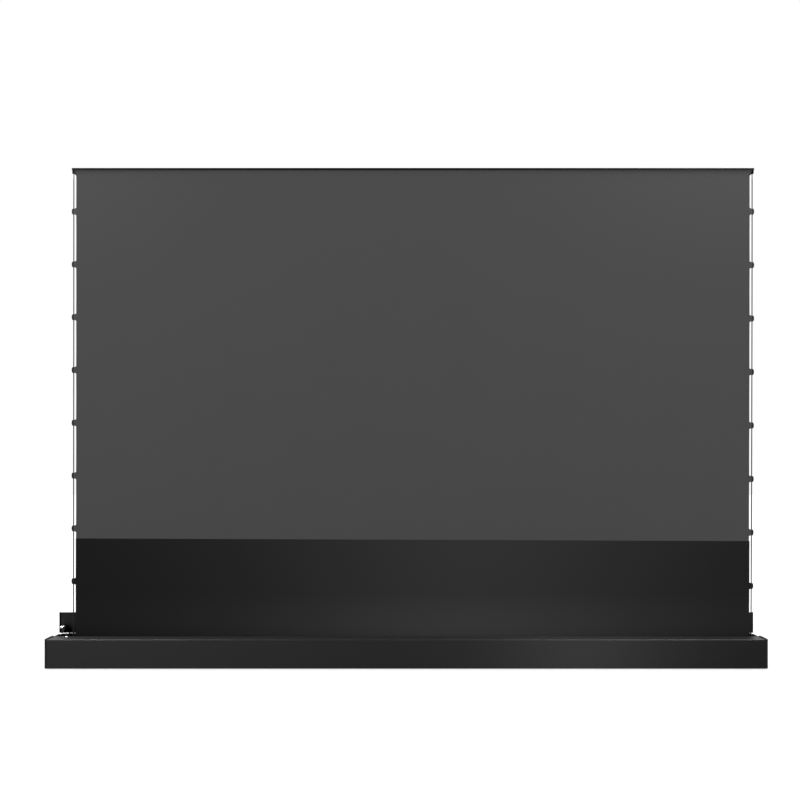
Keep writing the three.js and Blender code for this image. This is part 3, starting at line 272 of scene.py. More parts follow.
# %% Worn edges: a mask where two faces meet
wear_group, wear_in, wear_out = new_group(
    "worn_edges",
    [("Radius", "Float", 0.8 * MM), ("Amount", "Float", 0.5)],
    [("Wear", "Float")],
)
wear_round = add_node(wear_group, "Bevel", {"Radius": wear_in["Radius"]}, samples=4).outputs[0]
wear_flat = add_node(wear_group, "NewGeometry").outputs["Normal"]
wear_dot = add_node(
    wear_group, "VectorMath", {0: wear_round, 1: wear_flat}, operation="DOT_PRODUCT"
).outputs["Value"]
wear_gap = math_node(wear_group, "SUBTRACT", 1.0, wear_dot)
wear_noise = add_node(
    wear_group,
    "TexNoise",
    {"Vector": add_node(wear_group, "TexCoord").outputs["Object"], "Scale": 60.0, "Detail": 3.0},
).outputs["Fac"]
wear_patch = math_node(wear_group, "MULTIPLY", wear_gap, wear_noise)
wear_strong = math_node(wear_group, "MULTIPLY", wear_patch, 6.0, clamp=True)
wear_out("Wear", math_node(wear_group, "MULTIPLY", wear_strong, wear_in["Amount"]))

# %% Dust: a thin film on what faces up
dust_group, dust_in, dust_out = new_group(
    "dust", [("Amount", "Float", 0.2)], [("Dust", "Float")]
)
dust_up = add_node(
    dust_group, "SeparateXYZ", {0: add_node(dust_group, "NewGeometry").outputs["Normal"]}
).outputs["Z"]
dust_noise = add_node(
    dust_group,
    "TexNoise",
    {"Vector": add_node(dust_group, "TexCoord").outputs["Object"], "Scale": 9.0, "Detail": 6.0},
).outputs["Fac"]
dust_level = math_node(dust_group, "MULTIPLY", dust_up, dust_noise, clamp=True)
dust_out("Dust", math_node(dust_group, "MULTIPLY", dust_level, dust_in["Amount"]))

# %% Weave: threads both ways, in the plane of the upright sheet
weave_group, weave_in, weave_out = new_group(
    "weave",
    [("Threads", "Float", 900.0), ("Depth", "Float", 0.1)],
    [("Weave", "Float"), ("Normal", "Vector")],
)
weave_place = add_node(
    weave_group, "SeparateXYZ", {0: add_node(weave_group, "TexCoord").outputs["Object"]}
).outputs
weave_waves = []
for axis in ("X", "Z"):
    phase = math_node(weave_group, "MULTIPLY", weave_place[axis], weave_in["Threads"])
    turn = math_node(weave_group, "MULTIPLY", phase, 2 * math.pi)
    weave_waves.append(math_node(weave_group, "SINE", turn))
weave_cross = math_node(weave_group, "MULTIPLY", *weave_waves)
weave_level = math_node(weave_group, "MULTIPLY_ADD", weave_cross, 0.5)
weave_level.node.inputs[2].default_value = 0.5
weave_bump = add_node(
    weave_group,
    "Bump",
    {"Strength": weave_in["Depth"], "Distance": 0.1 * MM, "Height": weave_level},
).outputs["Normal"]
weave_out("Weave", weave_level)
weave_out("Normal", weave_bump)

# %% Painted highlight: a lighter colour round one place along the width, and less so above the foot
HIGHLIGHT_FADE_HEIGHT = 0.18
painted_highlight_group, highlight_in, highlight_out = new_group(
    "painted_broad_highlight",
    [
        ("Centre", "Float", 0.0),
        ("Reach", "Float", 1.0),
        ("Foot", "Float", 0.1),
        ("Rise", "Float", 0.0),
    ],
    [("Painted_light", "Float")],
)
highlight_place = add_node(
    painted_highlight_group, "SeparateXYZ", {0: add_node(painted_highlight_group, "TexCoord").outputs["Object"]}
).outputs
# The colour is painted lighter round the centre, as a lamp's highlight would be, and falls off to
# the sides
highlight_off = math_node(painted_highlight_group, "SUBTRACT", highlight_place["X"], highlight_in["Centre"])
highlight_share = math_node(painted_highlight_group, "DIVIDE", highlight_off, highlight_in["Reach"])
highlight_square = math_node(painted_highlight_group, "MULTIPLY", highlight_share, highlight_share)
highlight_fall = math_node(painted_highlight_group, "POWER", math_node(painted_highlight_group, "ADD", highlight_square, 1.0), -2.0)
# Less of the painted highlight above the foot, so the colour is painted lighter towards the bottom
highlight_above = math_node(painted_highlight_group, "SUBTRACT", highlight_place["Z"], highlight_in["Foot"])
highlight_height = math_node(painted_highlight_group, "DIVIDE", highlight_above, HIGHLIGHT_FADE_HEIGHT, clamp=True)
highlight_loss = math_node(painted_highlight_group, "MULTIPLY", highlight_height, highlight_in["Rise"])
highlight_keep = math_node(painted_highlight_group, "SUBTRACT", 1.0, highlight_loss)
highlight_out("Painted_light", math_node(painted_highlight_group, "MULTIPLY", highlight_fall, highlight_keep))
print("groups", [g.name for g in bpy.data.node_groups])

# %% [markdown]
# ## Finishes of the hard pieces
#
# The case and the lid are black anodised extrusions, with fine lines along them. Stamped steel
# pieces are powder coated, and their skin is a little pebbled. Mouldings have a soft texture. Pins
# and rivets are bright zinc. One function makes them all from a few values, since they differ in
# colour, gloss and the size of their grain, and not in kind.
#
# The top bar, its hooks and the ends of the lid are a deeper black. The case's front has two
# painted highlights along it: its colour is lighter round two places, where the room's light would
# reflect. A lamp for each of them would light the rest of the scene too, so that light is painted
# into the finish.

# %% Parts that every material uses
def grey(level):
    return (level, level, level, 1.0)


def group_node(tree, group, values):
    node = tree.nodes.new("ShaderNodeGroup")
    node.node_tree = group
    for key, value in values.items():
        node.inputs[key].default_value = value
    return node


def empty_material(name):
    material = bpy.data.materials.new(name)
    material.use_nodes = True
    return material, material.node_tree, material.node_tree.nodes["Principled BSDF"]


def spread_by(tree, value, middle, spread, ends=(0.0, 1.0)):
    """A level that goes with a value, this far to each side of its middle."""
    values = {"Value": value, "From Min": ends[0], "From Max": ends[1]}
    values.update({"To Min": middle - spread, "To Max": middle + spread})
    return add_node(tree, "MapRange", values).outputs[0]


def scaled_grey(tree, level, factor):
    """This grey level times a factor that may pass 1."""
    ends = {6: grey(0), 7: grey(level)}
    mix = add_node(tree, "Mix", ends, data_type="RGBA", clamp_factor=False)
    tree.links.new(factor, mix.inputs["Factor"])
    return mix.outputs[2]


def painted_highlight(level, centre, reach, foot=0.1, rise=0.0):
    """A painted highlight: a lighter grey level, and the place and size of the patch it is painted
    on.
    """
    return level, {"Centre": centre, "Reach": reach, "Foot": foot, "Rise": rise}


def with_painted_highlights(tree, base, glows):
    """The base colour, going over to a lighter one where a painted highlight is strong."""
    for level, values in glows:
        broad = group_node(tree, painted_highlight_group, values)
        lit = add_node(tree, "Mix", {6: base, 7: grey(level)}, data_type="RGBA")
        tree.links.new(broad.outputs["Painted_light"], lit.inputs["Factor"])
        base = lit.outputs[2]
    return base


# %% One function for all hard finishes
GRAIN_ENDS = (0.3, 0.7)
GRAIN_TONE = 0.15
WORN_WIDTH = 0.6 * MM
DUST_GREY = 0.2


def hard_finish(
    name,
    colour,
    rough,
    spread,
    grain,
    worn,
    metallic=0.0,
    wear=0.4,
    dust=0.0,
    specular=0.5,
    glows=(),
):
    """colour and worn are grey levels, and grain is (scale, stretch, depth).

    The roughness varies with the grain, by spread. wear and dust are shares. glows are painted
    highlights.
    """
    material, tree, shader = empty_material(name)
    shader.inputs["Metallic"].default_value = metallic
    shader.inputs["Specular IOR Level"].default_value = specular
    scale, stretch, depth = grain
    skin = group_node(tree, grain_group, {"Scale": scale, "Stretch": stretch, "Depth": depth})
    edges = group_node(tree, wear_group, {"Radius": WORN_WIDTH, "Amount": wear})
    film = group_node(tree, dust_group, {"Amount": dust})
    tone = spread_by(tree, skin.outputs["Grain"], 1, GRAIN_TONE, GRAIN_ENDS)
    base = scaled_grey(tree, colour, tone)
    broad = with_painted_highlights(tree, base, glows)
    with_edges = add_node(tree, "Mix", {6: broad, 7: grey(worn)}, data_type="RGBA")
    tree.links.new(edges.outputs["Wear"], with_edges.inputs["Factor"])
    dusty = {6: with_edges.outputs[2], 7: grey(DUST_GREY)}
    with_dust = add_node(tree, "Mix", dusty, data_type="RGBA")
    tree.links.new(film.outputs["Dust"], with_dust.inputs["Factor"])
    tree.links.new(with_dust.outputs[2], shader.inputs["Base Color"])
    gloss = spread_by(tree, skin.outputs["Grain"], rough, spread, GRAIN_ENDS)
    tree.links.new(gloss, shader.inputs["Roughness"])
    tree.links.new(skin.outputs["Normal"], shader.inputs["Normal"])
    return material


# %% The hard finishes
LENGTHWAYS = (0.02, 1, 1)
EVEN = (1, 1, 1)
EXTRUDED_GRAIN = (900.0, LENGTHWAYS, 0.08)
finishes = {
    "black_aluminium": hard_finish(
        "anodised_black",
        colour=0.008,
        rough=0.32,
        spread=0.05,
        grain=EXTRUDED_GRAIN,
        worn=0.05,
        wear=0.35,
        dust=0.02,
        specular=0.14,
    ),
    "black_steel": hard_finish(
        "powder_coat_black",
        colour=0.009,
        rough=0.5,
        spread=0.08,
        grain=(1400.0, EVEN, 0.3),
        worn=0.08,
        dust=0.03,
        specular=0.2,
    ),
    "black_plastic": hard_finish(
        "moulded_black",
        colour=0.007,
        rough=0.52,
        spread=0.07,
        grain=(2200.0, EVEN, 0.35),
        worn=0.04,
        wear=0.3,
        dust=0.03,
        specular=0.15,
    ),
    "gloss_black": hard_finish(
        "gloss_black",
        colour=0.003,
        rough=0.16,
        spread=0.04,
        grain=(300.0, EVEN, 0.03),
        worn=0.04,
        wear=0.3,
        specular=0.1,
    ),
    "bright_steel": hard_finish(
        "zinc_plate",
        colour=0.62,
        rough=0.28,
        spread=0.08,
        grain=(700.0, EVEN, 0.12),
        worn=0.8,
        metallic=1.0,
    ),
    "raw_aluminium": hard_finish(
        "mill_aluminium",
        colour=0.58,
        rough=0.36,
        spread=0.08,
        grain=(900.0, LENGTHWAYS, 0.15),
        worn=0.75,
        metallic=1.0,
    ),
    "rubber": hard_finish(
        "rubber_black",
        colour=0.018,
        rough=0.78,
        spread=0.08,
        grain=(1200.0, EVEN, 0.4),
        worn=0.04,
        wear=0.3,
    ),
}
deep_black = hard_finish(
    "deep_black",
    colour=0.002,
    rough=0.6,
    spread=0.06,
    grain=(1800.0, EVEN, 0.25),
    worn=0.008,
    wear=0.3,
    specular=0.04,
)
# Painted highlights: the case's front is made lighter where the room's light would reflect in it
FRONT_PAINTED_HIGHLIGHTS = (
    painted_highlight(0.0195, centre=-1.2, reach=2.0),
    painted_highlight(0.034, centre=0.7, reach=0.55),
)
painted_front_finish = hard_finish(
    "anodised_front_painted_highlights",
    colour=0.0005,
    rough=0.42,
    spread=0.05,
    grain=EXTRUDED_GRAIN,
    worn=0.05,
    wear=0.35,
    dust=0.02,
    specular=0.1,
    glows=FRONT_PAINTED_HIGHLIGHTS,
)
DEEP_BLACK_NODES = (
    "top_bar",
    "corner_hook_left",
    "corner_hook_right",
    "lid_end_left",
    "lid_end_right",
)
own_finish = {name: deep_black for name in DEEP_BLACK_NODES}
# The case's front takes the finish with its painted highlights
own_finish["front_panel"] = painted_front_finish
print("hard finishes", sorted(finishes))

# %% [markdown]
# ## Rounded edges
#
# A folded or extruded edge is never a knife edge: it has a small radius that catches a line of
# light. The solids have sharp edges, and their meshes must stay as they are, so the rounding is
# done by modifiers: weld the split vertices, merge the flat triangles, round what is sharper than a
# set angle, and weight the normals so that flats stay flat.

# %% Dress the CAD nodes
SHARP_ANGLE = math.radians(38)
FLAT_ANGLE = math.radians(0.6)
EDGE_ROUNDING = {
    "black_aluminium": 0.45 * MM,
    "black_steel": 0.4 * MM,
    "black_plastic": 0.8 * MM,
    "gloss_black": 0.9 * MM,
    "bright_steel": 0.35 * MM,
    "raw_aluminium": 0.3 * MM,
    "rubber": 0.6 * MM,
}
FRONT_ROUNDING = 1.1 * MM
WELD_REACH = 0.005 * MM


def soften(piece, width):
    for face in piece.data.polygons:
        face.use_smooth = True
    weld = piece.modifiers.new("weld", "WELD")
    weld.merge_threshold = WELD_REACH
    flats = piece.modifiers.new("flats", "DECIMATE")
    flats.decimate_type = "DISSOLVE"
    flats.angle_limit = FLAT_ANGLE
    bevel = piece.modifiers.new("edges", "BEVEL")
    bevel.width = width
    bevel.segments = 2
    bevel.limit_method = "ANGLE"
    bevel.angle_limit = SHARP_ANGLE
    normals = piece.modifiers.new("normals", "WEIGHTED_NORMAL")
    normals.keep_sharp = False


slots = {s["node"]: s["material_slot"] for s in frame["record"]["subparts"]}
for name, piece in nodes.items():
    slot = slots[name]
    if slot not in finishes:
        continue
    piece.data.materials.clear()
    piece.data.materials.append(own_finish.get(name, finishes[slot]))
    soften(piece, FRONT_ROUNDING if name == "front_panel" else EDGE_ROUNDING[slot])
print("dressed", sum(slot in finishes for slot in slots.values()), "of", len(nodes), "nodes")

# %% [markdown]
# ## The sheet
#
# The viewing surface is a matt grey coating on a stretched cloth, and its lower part is black. Tabs
# pull its sides outwards, so each edge runs in very shallow curves from tab to tab, and faint
# ripples reach in from each tab. Simulating the cloth would give the same nearly flat result at a
# cost, so the edge and the ripples are worked out from the tabs' places.

# %% Cloth finishes
CLOUD_SCALE = 3.0
THREAD_TONE = 0.06
CLOTH_GLOSS = 0.05


def cloth_finish(name, colour, rough, threads, depth, specular, patch=0.05, glows=()):
    """threads are per metre, patch is how uneven the colour is over the cloth, and glows are
    painted highlights.
    """
    material, tree, shader = empty_material(name)
    woven = group_node(tree, weave_group, {"Threads": threads, "Depth": depth})
    clouds = group_node(tree, grain_group, {"Scale": CLOUD_SCALE, "Stretch": EVEN, "Depth": 0.0})
    shader.inputs["Specular IOR Level"].default_value = specular
    tone = spread_by(tree, clouds.outputs["Grain"], 1, patch, GRAIN_ENDS)
    shade = spread_by(tree, woven.outputs["Weave"], 1, THREAD_TONE)
    base = scaled_grey(tree, colour, math_node(tree, "MULTIPLY", tone, shade))
    tree.links.new(with_painted_highlights(tree, base, glows), shader.inputs["Base Color"])
    gloss = spread_by(tree, clouds.outputs["Grain"], rough, CLOTH_GLOSS)
    tree.links.new(gloss, shader.inputs["Roughness"])
    tree.links.new(woven.outputs["Normal"], shader.inputs["Normal"])
    return material


grey_cloth = cloth_finish(
    "viewing_surface",
    colour=0.0645,
    rough=0.85,
    threads=1300.0,
    depth=0.15,
    specular=0.05,
    patch=0.015,
)
# A painted sheen on the black cloth: lighter in the middle of its width and towards its foot
DROP_PAINTED_HIGHLIGHTS = (painted_highlight(0.045, centre=0.28, reach=1.29, foot=0.12, rise=0.45),)
black_cloth_painted_sheen = cloth_finish(
    "black_masking_painted_sheen",
    colour=0.002,
    rough=0.5,
    threads=1300.0,
    depth=0.15,
    specular=0.06,
    patch=0.06,
    glows=DROP_PAINTED_HIGHLIGHTS,
)
tab_cloth = cloth_finish(
    "tab_webbing", colour=0.062, rough=0.8, threads=700.0, depth=0.4, specular=0.08
)
black_webbing = cloth_finish(
    "black_webbing", colour=0.006, rough=0.8, threads=700.0, depth=0.4, specular=0.08
)
cord_braid = cloth_finish(
    "cord_braid", colour=0.016, rough=0.75, threads=900.0, depth=0.8, specular=0.1
)
clip_plastic = finishes["black_plastic"]
for cord in cords.values():
    cord.data.materials.append(cord_braid)

# %% Places that the sheet follows
surface_low, surface_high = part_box("screen_surface")
drop_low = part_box("black_drop")[0]
edge_x = {"left": surface_low.x, "right": surface_high.x}
sheet_y = (surface_low.y + surface_high.y) / 2
sheet_thickness = surface_high.y - surface_low.y
DROP_TOP = {"left": 523 * MM, "right": 512 * MM}
TAB_PITCH = {"left": 218.2 * MM, "right": 221 * MM}
TAB_FIRST_DROP = 179 * MM
TAB_COUNT = 8
SCALLOP = 0.4 * MM
RIPPLE = 0.25 * MM
RIPPLE_REACH = 130 * MM
first_tab = cad_high.z - TAB_FIRST_DROP
tab_heights = {
    side: [first_tab - i * TAB_PITCH[side] for i in range(TAB_COUNT)] for side in SIDES
}
print("lowest tabs", {side: round(tab_heights[side][-1], 4) for side in SIDES})


def between_tabs(z, side):
    """0 at a tab and 1 half way to the next one."""
    return (1 - math.cos(2 * math.pi * (z - first_tab) / TAB_PITCH[side])) / 2


def edge_at(z, side):
    return edge_x[side] - SIDES[side] * SCALLOP * between_tabs(z, side) - lean(z, side)


def boundary(share):
    """Height of the line between grey and black, from the left edge to the right."""
    return DROP_TOP["left"] + (DROP_TOP["right"] - DROP_TOP["left"]) * share


# %% Build the grey surface and the black drop
SHEET_COLUMNS = 48
ROWS_PER_TAB = 8
LEAST_ROWS = 4
NO_SPREAD = {"left": 0, "right": 0}
DROP_SPREAD = {"left": 1.3 * MM, "right": 2.4 * MM}


def sheet_mesh(name, bottom, top, rows, spread):
    """bottom and top give a height for each share of the width, spread widens each side."""
    points = []
    faces = []
    width = edge_x["right"] - edge_x["left"]
    for j in range(rows + 1):
        for i in range(SHEET_COLUMNS + 1):
            share = (1 - math.cos(math.pi * i / SHEET_COLUMNS)) / 2
            z = bottom(share) + (top(share) - bottom(share)) * j / rows
            left = edge_at(z, "left") - spread["left"]
            right = edge_at(z, "right") + spread["right"]
            side = "left" if share < 0.5 else "right"
            reach = min(share, 1 - share) * width / RIPPLE_REACH
            x = left + (right - left) * share
            y = sheet_y + RIPPLE * math.exp(-reach) * (0.5 - between_tabs(z, side))
            points.append((x, y, z))
    for j in range(rows):
        for i in range(SHEET_COLUMNS):
            a = j * (SHEET_COLUMNS + 1) + i
            faces.append((a, a + 1, a + SHEET_COLUMNS + 2, a + SHEET_COLUMNS + 1))
    return mesh_of(name, points, faces)


def thicken(piece, thickness, offset):
    """Give cloth its thickness, and keep its flat faces lit as flat up to the rim."""
    thick = piece.modifiers.new("thickness", "SOLIDIFY")
    thick.thickness = thickness
    thick.offset = offset
    normals = piece.modifiers.new("normals", "WEIGHTED_NORMAL")
    normals.keep_sharp = False


def sheet_piece(name, node, bottom, top, material, spread):
    """One of the two sheets, in the place of its solid."""
    height = top(0.5) - bottom(0.5)
    rows = max(LEAST_ROWS, round(ROWS_PER_TAB * height / TAB_PITCH["left"]))
    piece = new_piece(name, sheet_mesh(name, bottom, top, rows, spread), "case")
    piece.data.materials.append(material)
    thicken(piece, sheet_thickness, 0)
    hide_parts(node)
    squash_down(piece)
    return piece


grey_piece = sheet_piece(
    "viewing_sheet",
    "screen_surface",
    bottom=boundary,
    top=lambda share: surface_high.z,
    material=grey_cloth,
    spread=NO_SPREAD,
)
black_piece = sheet_piece(
    "masking_sheet",
    "black_drop",
    bottom=lambda share: drop_low.z,
    top=boundary,
    material=black_cloth_painted_sheen,
    spread=DROP_SPREAD,
)

# %% [markdown]
# ## What stays wound on the roller
#
# A few turns of black cloth never leave the roller, and their ends show as a spiral. A plain ring
# has no layers, so one strip is wound here, a cloth's thickness further in at each turn.

# %% Wind the roll
wraps_low, wraps_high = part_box("fabric_wraps")
roller_y = (wraps_low.y + wraps_high.y) / 2
TURN_STEPS = 36
TURNS = 4
LAYER = 0.58 * MM
ROLL_MARGIN = 0.3 * MM
outer_radius = (wraps_high.y - wraps_low.y) / 2 + ROLL_MARGIN


def wound_strip(name):
    """Four points at each step: outside left and right, then inside left and right."""
    points = []
    faces = []
    count = TURNS * TURN_STEPS
    for i in range(count + 1):
        angle = -2 * math.pi * i / TURN_STEPS
        radius = outer_radius - LAYER * i / TURN_STEPS
        for depth in (0, sheet_thickness):
            y = roller_y + (radius - depth) * math.cos(angle)
            z = roller_axis_z + (radius - depth) * math.sin(angle)
            for x in (edge_x["left"], edge_x["right"]):
                points.append((x, y, z))
    for i in range(count):
        a = 4 * i
        for p, q in ((0, 1), (1, 3), (3, 2), (2, 0)):
            faces.append((a + p, a + q, a + 4 + q, a + 4 + p))
    faces.append((0, 1, 3, 2))
    faces.append(tuple(4 * count + k for k in (0, 2, 3, 1)))
    return mesh_of(name, points, faces)


roll = new_piece("wound_cloth", wound_strip("wound_cloth"), "roller")
roll.data.materials.append(black_cloth_painted_sheen)
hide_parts("fabric_wraps")
print("wound", TURNS, "turns")

# %% [markdown]
# ## Side bands, tabs and clips
#
# A band of the sheet's own material is sewn down each edge. At every tab it reaches out to the
# cord in a flap that narrows on the way, and a small black clip with a round outer side holds the
# flap on the cord. The band is built row by row from one rule for its width, and the clip is its
# outline, drawn out to its thickness. Two rows of stitches run down each band.

# %% The bands with their flaps
BAND_WIDTH = 12 * MM
BAND_THICKNESS = 0.5 * MM
FLAP_REACH = 13 * MM
FLAP_TIP = 10 * MM
FLAP_ROOT = 15 * MM
FLAP_ROWS = (0, 5, 8, 10, 11, 12, 13, 14, 15, 18, 24, 40, 70)
CORNER_REACH = 8.5 * MM
CORNER_START = 7 * MM
CORNER_RISE = 11 * MM
CLEAR = 0.3 * MM
strip_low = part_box("tab_strip_left")[0]
band_front = strip_low.y
band_bottom = strip_low.z
band_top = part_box("fabric_batten")[0].z - CLEAR
flap_top = surface_high.z - CLEAR
corner_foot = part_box("corner_hook_left")[0].z + CORNER_START
band_split = {"left": boundary(0), "right": boundary(1)}
BAND_PARTS = {
    "upper": ("grey_sheet", tab_cloth, lambda side: (band_split[side], flap_top)),
    "lower": ("black_sheet", black_webbing, lambda side: (band_bottom, band_split[side])),
}


def flap(z, side):
    """How far the band reaches past the sheet's edge at this height."""
    off = min(abs(z - tab) for tab in tab_heights[side])
    share = min(1, max(0, (FLAP_ROOT - off) / (FLAP_ROOT - FLAP_TIP)))
    corner = min(1, max(0, (z - corner_foot) / CORNER_RISE))
    return max(FLAP_REACH * share, CORNER_REACH * corner)


def band_heights(low, high, side):
    heights = {low, high, corner_foot, corner_foot + CORNER_RISE, band_top, band_top + CLEAR}
    for tab in tab_heights[side]:
        for off in FLAP_ROWS:
            heights.update((tab - off * MM, tab + off * MM))
    return sorted(z for z in heights if low <= z <= high)


def band_mesh(name, side, low, high):
    """The band's mesh and its area, laid flat."""
    sign = SIDES[side]
    points = []
    faces = []
    area = 0
    heights = band_heights(low, high, side)
    for z in heights:
        edge = edge_at(z, side)
        inner = edge - sign * BAND_WIDTH if z <= band_top else edge + sign * CLEAR
        points.append((inner, band_front, z))
        points.append((edge + sign * flap(z, side), band_front, z))
    for i in range(len(heights) - 1):
        a = 2 * i
        faces.append((a, a + 1, a + 3, a + 2))
        widths = abs(points[a + 1][0] - points[a][0]) + abs(points[a + 3][0] - points[a + 2][0])
        area += widths / 2 * (heights[i + 1] - heights[i])
    return mesh_of(name, points, faces), area


for side in SIDES:
    for part, (slot, material, span) in BAND_PARTS.items():
        low, high = span(side)
        name = f"{part}_band_{side}"
        mesh, area = band_mesh(name, side, low, high)
        band = new_piece(name, mesh, "case")
        band.data.materials.append(material)
        faces_front = band.data.polygons[0].normal.y < 0
        thicken(band, BAND_THICKNESS, -1 if faces_front else 1)
        if part == "upper":
            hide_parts(f"tab_strip_{side}")
        squash_down(band)

# %% The clips
CLIP_HEIGHT = 26 * MM
CLIP_WIDTH = 9.6 * MM
CLIP_INNER = 9.6 * MM
CLIP_FRONT = 0.2 * MM
CLIP_BACK = 5.6 * MM
CLIP_STEPS = 14
CLIP_TIP = 0.25  # width of the clip's ends, for 1 at its middle
CLIP_FULLNESS = 0.8  # lower is squarer
CLIP_ROUNDING = 0.9 * MM


def add_clip(shape, x, sign, z):
    """A half round block, with its flat side towards the sheet."""
    outline = [(0, -CLIP_HEIGHT / 2), (0, CLIP_HEIGHT / 2)]
    for i in range(CLIP_STEPS + 1):
        angle = math.pi / 2 - math.pi * i / CLIP_STEPS
        width = CLIP_TIP + (1 - CLIP_TIP) * math.cos(angle) ** CLIP_FULLNESS
        outline.append((CLIP_WIDTH * width, CLIP_HEIGHT / 2 * math.sin(angle)))
    rings = []
    for y in (band_front - CLIP_FRONT, band_front + CLIP_BACK):
        rings.append([shape.verts.new((x + sign * a, y, z + b)) for a, b in outline])
    front, back = rings
    shape.faces.new(front)
    shape.faces.new(back[::-1])
    for i in range(len(outline)):
        k = (i + 1) % len(outline)
        shape.faces.new((front[i], front[k], back[k], back[i]))


def round_edges(piece, width, sharp, segments=1):
    edge = piece.modifiers.new("edges", "BEVEL")
    edge.width = width
    edge.segments = segments
    edge.angle_limit = sharp
    piece.modifiers.new("normals", "WEIGHTED_NORMAL")


for side, sign in SIDES.items():
    shape = bmesh.new()
    for z in tab_heights[side]:
        add_clip(shape, edge_x[side] + sign * CLIP_INNER - lean(z, side), sign, z)
    clips = built_piece(f"tab_clips_{side}", shape, "case")
    clips.data.materials.append(clip_plastic)
    round_edges(clips, CLIP_ROUNDING, SHARP_ANGLE, segments=2)
    squash_down(clips)
print("clips", 2 * TAB_COUNT)

# %% Stitches down each band
STITCH_PITCH = 5 * MM
STITCH_LENGTH = 3 * MM
STITCH_RADIUS = 0.22 * MM
STITCH_SIDES = 6
STITCH_INSET = (3 * MM, 9 * MM)
STITCH_FORM = ((-0.5, 0.35), (-0.25, 1.0), (0.25, 1.0), (0.5, 0.35))  # place, thickness
THREADS = {
    "upper": cloth_finish(
        "grey_thread", colour=0.045, rough=0.7, threads=2500.0, depth=0.3, specular=0.1
    ),
    "lower": cloth_finish(
        "black_thread", colour=0.008, rough=0.7, threads=2500.0, depth=0.3, specular=0.1
    ),
}


def join_rings(shape, rings):
    """A wall of faces from each ring of points to the next."""
    for low_ring, high_ring in zip(rings, rings[1:]):
        for k in range(len(low_ring)):
            n = (k + 1) % len(low_ring)
            shape.faces.new((low_ring[k], low_ring[n], high_ring[n], high_ring[k]))


def add_stitch(shape, x, y, z):
    """A short thread, thicker in its middle, half sunk in the cloth."""
    rings = []
    for along, size in STITCH_FORM:
        reach = STITCH_RADIUS * size
        height = z + along * STITCH_LENGTH
        ring = []
        for k in range(STITCH_SIDES):
            angle = 2 * math.pi * k / STITCH_SIDES
            place = (x + reach * math.cos(angle), y + reach * math.sin(angle), height)
            ring.append(shape.verts.new(place))
        rings.append(ring)
    shape.faces.new(rings[0][::-1])
    shape.faces.new(rings[-1])
    join_rings(shape, rings)


stitch_y = sheet_y - sheet_thickness / 2
stitch_count = 0
for side, sign in SIDES.items():
    for part, (slot, _, span) in BAND_PARTS.items():
        shape = bmesh.new()
        low, high = span(side)
        count = int((high - low) / STITCH_PITCH) - 1
        for i in range(count):
            z = low + STITCH_PITCH * (i + 1)
            edge = edge_at(z, side)
            ripple = RIPPLE * (0.5 - between_tabs(z, side))
            for inset in STITCH_INSET:
                add_stitch(shape, edge - sign * inset, stitch_y + ripple, z)
        name = f"{part}_stitches_{side}"
        seam = built_piece(name, shape, "case")
        seam.data.materials.append(THREADS[part])
        squash_down(seam)
        stitch_count += count * len(STITCH_INSET)
print("stitches", stitch_count)

# %% [markdown]
# ## Screws
#
# Button head screws with a hexagon socket hold the end caps, the hinge and the roller's brackets.
# A screw could be a cylinder with a dark dot, but its dome and its socket are what catch the light.
# So the head is built ring by ring: the rim, the dome, the socket's edge, its wall and its floor.

# %% One screw head
SCREW_SIDES = 24
DOME = ((1.0, 0.0), (1.0, 0.18), (0.94, 0.5), (0.78, 0.8), (0.56, 0.96))  # reach, rise
SOCKET = ((0.46, 0.98), (0.44, 0.25))
SCREW_ROUNDING = 0.12 * MM
SCREW_SHARP = math.radians(50)


def hexagon_share(angle):
    """How far the flat of a hexagon is at this angle, for a corner at 1."""
    turn = (angle + math.pi / 6) % (math.pi / 3) - math.pi / 6
    return math.cos(math.pi / 6) / math.cos(turn)


def add_screw(shape, centre, out, size):
    """One head at this centre, facing out, of this radius and height."""
    radius, height = size
    out = Vector(out).normalized()
    side = out.orthogonal().normalized()
    up = out.cross(side)
    angles = [2 * math.pi * k / SCREW_SIDES for k in range(SCREW_SIDES)]
    rows = [[(reach, rise)] * SCREW_SIDES for reach, rise in DOME]
    rows += [[(reach * hexagon_share(a), rise) for a in angles] for reach, rise in SOCKET]
    rings = []
    for row in rows:
        ring = []
        for angle, (reach, rise) in zip(angles, row):
            flat = math.cos(angle) * side + math.sin(angle) * up
            place = Vector(centre) + radius * reach * flat + height * rise * out
            ring.append(shape.verts.new(place))
        rings.append(ring)
    join_rings(shape, rings)
    shape.faces.new(rings[-1])
    shape.faces.new(rings[0][::-1])


def screws(name, places, out, size, body, slot):
    """One piece that holds a screw at each of these places."""
    shape = bmesh.new()
    for place in places:
        add_screw(shape, place, out, size)
    piece = built_piece(name, shape, body)
    piece.data.materials.append(finishes[slot])
    round_edges(piece, SCREW_ROUNDING, SCREW_SHARP)


# %% Screws of the end caps
CAP_SCREW = (3.6 * MM, 1.6 * MM)
CAP_SCREW_INSET = 14 * MM
CAP_SCREW_TOP = 18 * MM
for side, sign in SIDES.items():
    cap_low, cap_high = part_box(f"end_cap_{side}")
    face = cap_low.x if sign < 0 else cap_high.x
    places = []
    for y in (cap_low.y + CAP_SCREW_INSET, cap_high.y - CAP_SCREW_INSET):
        for z in (cap_low.z + CAP_SCREW_INSET, cap_high.z - CAP_SCREW_TOP):
            places.append((face, y, z))
    screws(f"end_cap_screws_{side}", places, (sign, 0, 0), CAP_SCREW, "case", "black_steel")
    print("end cap", side, len(places))

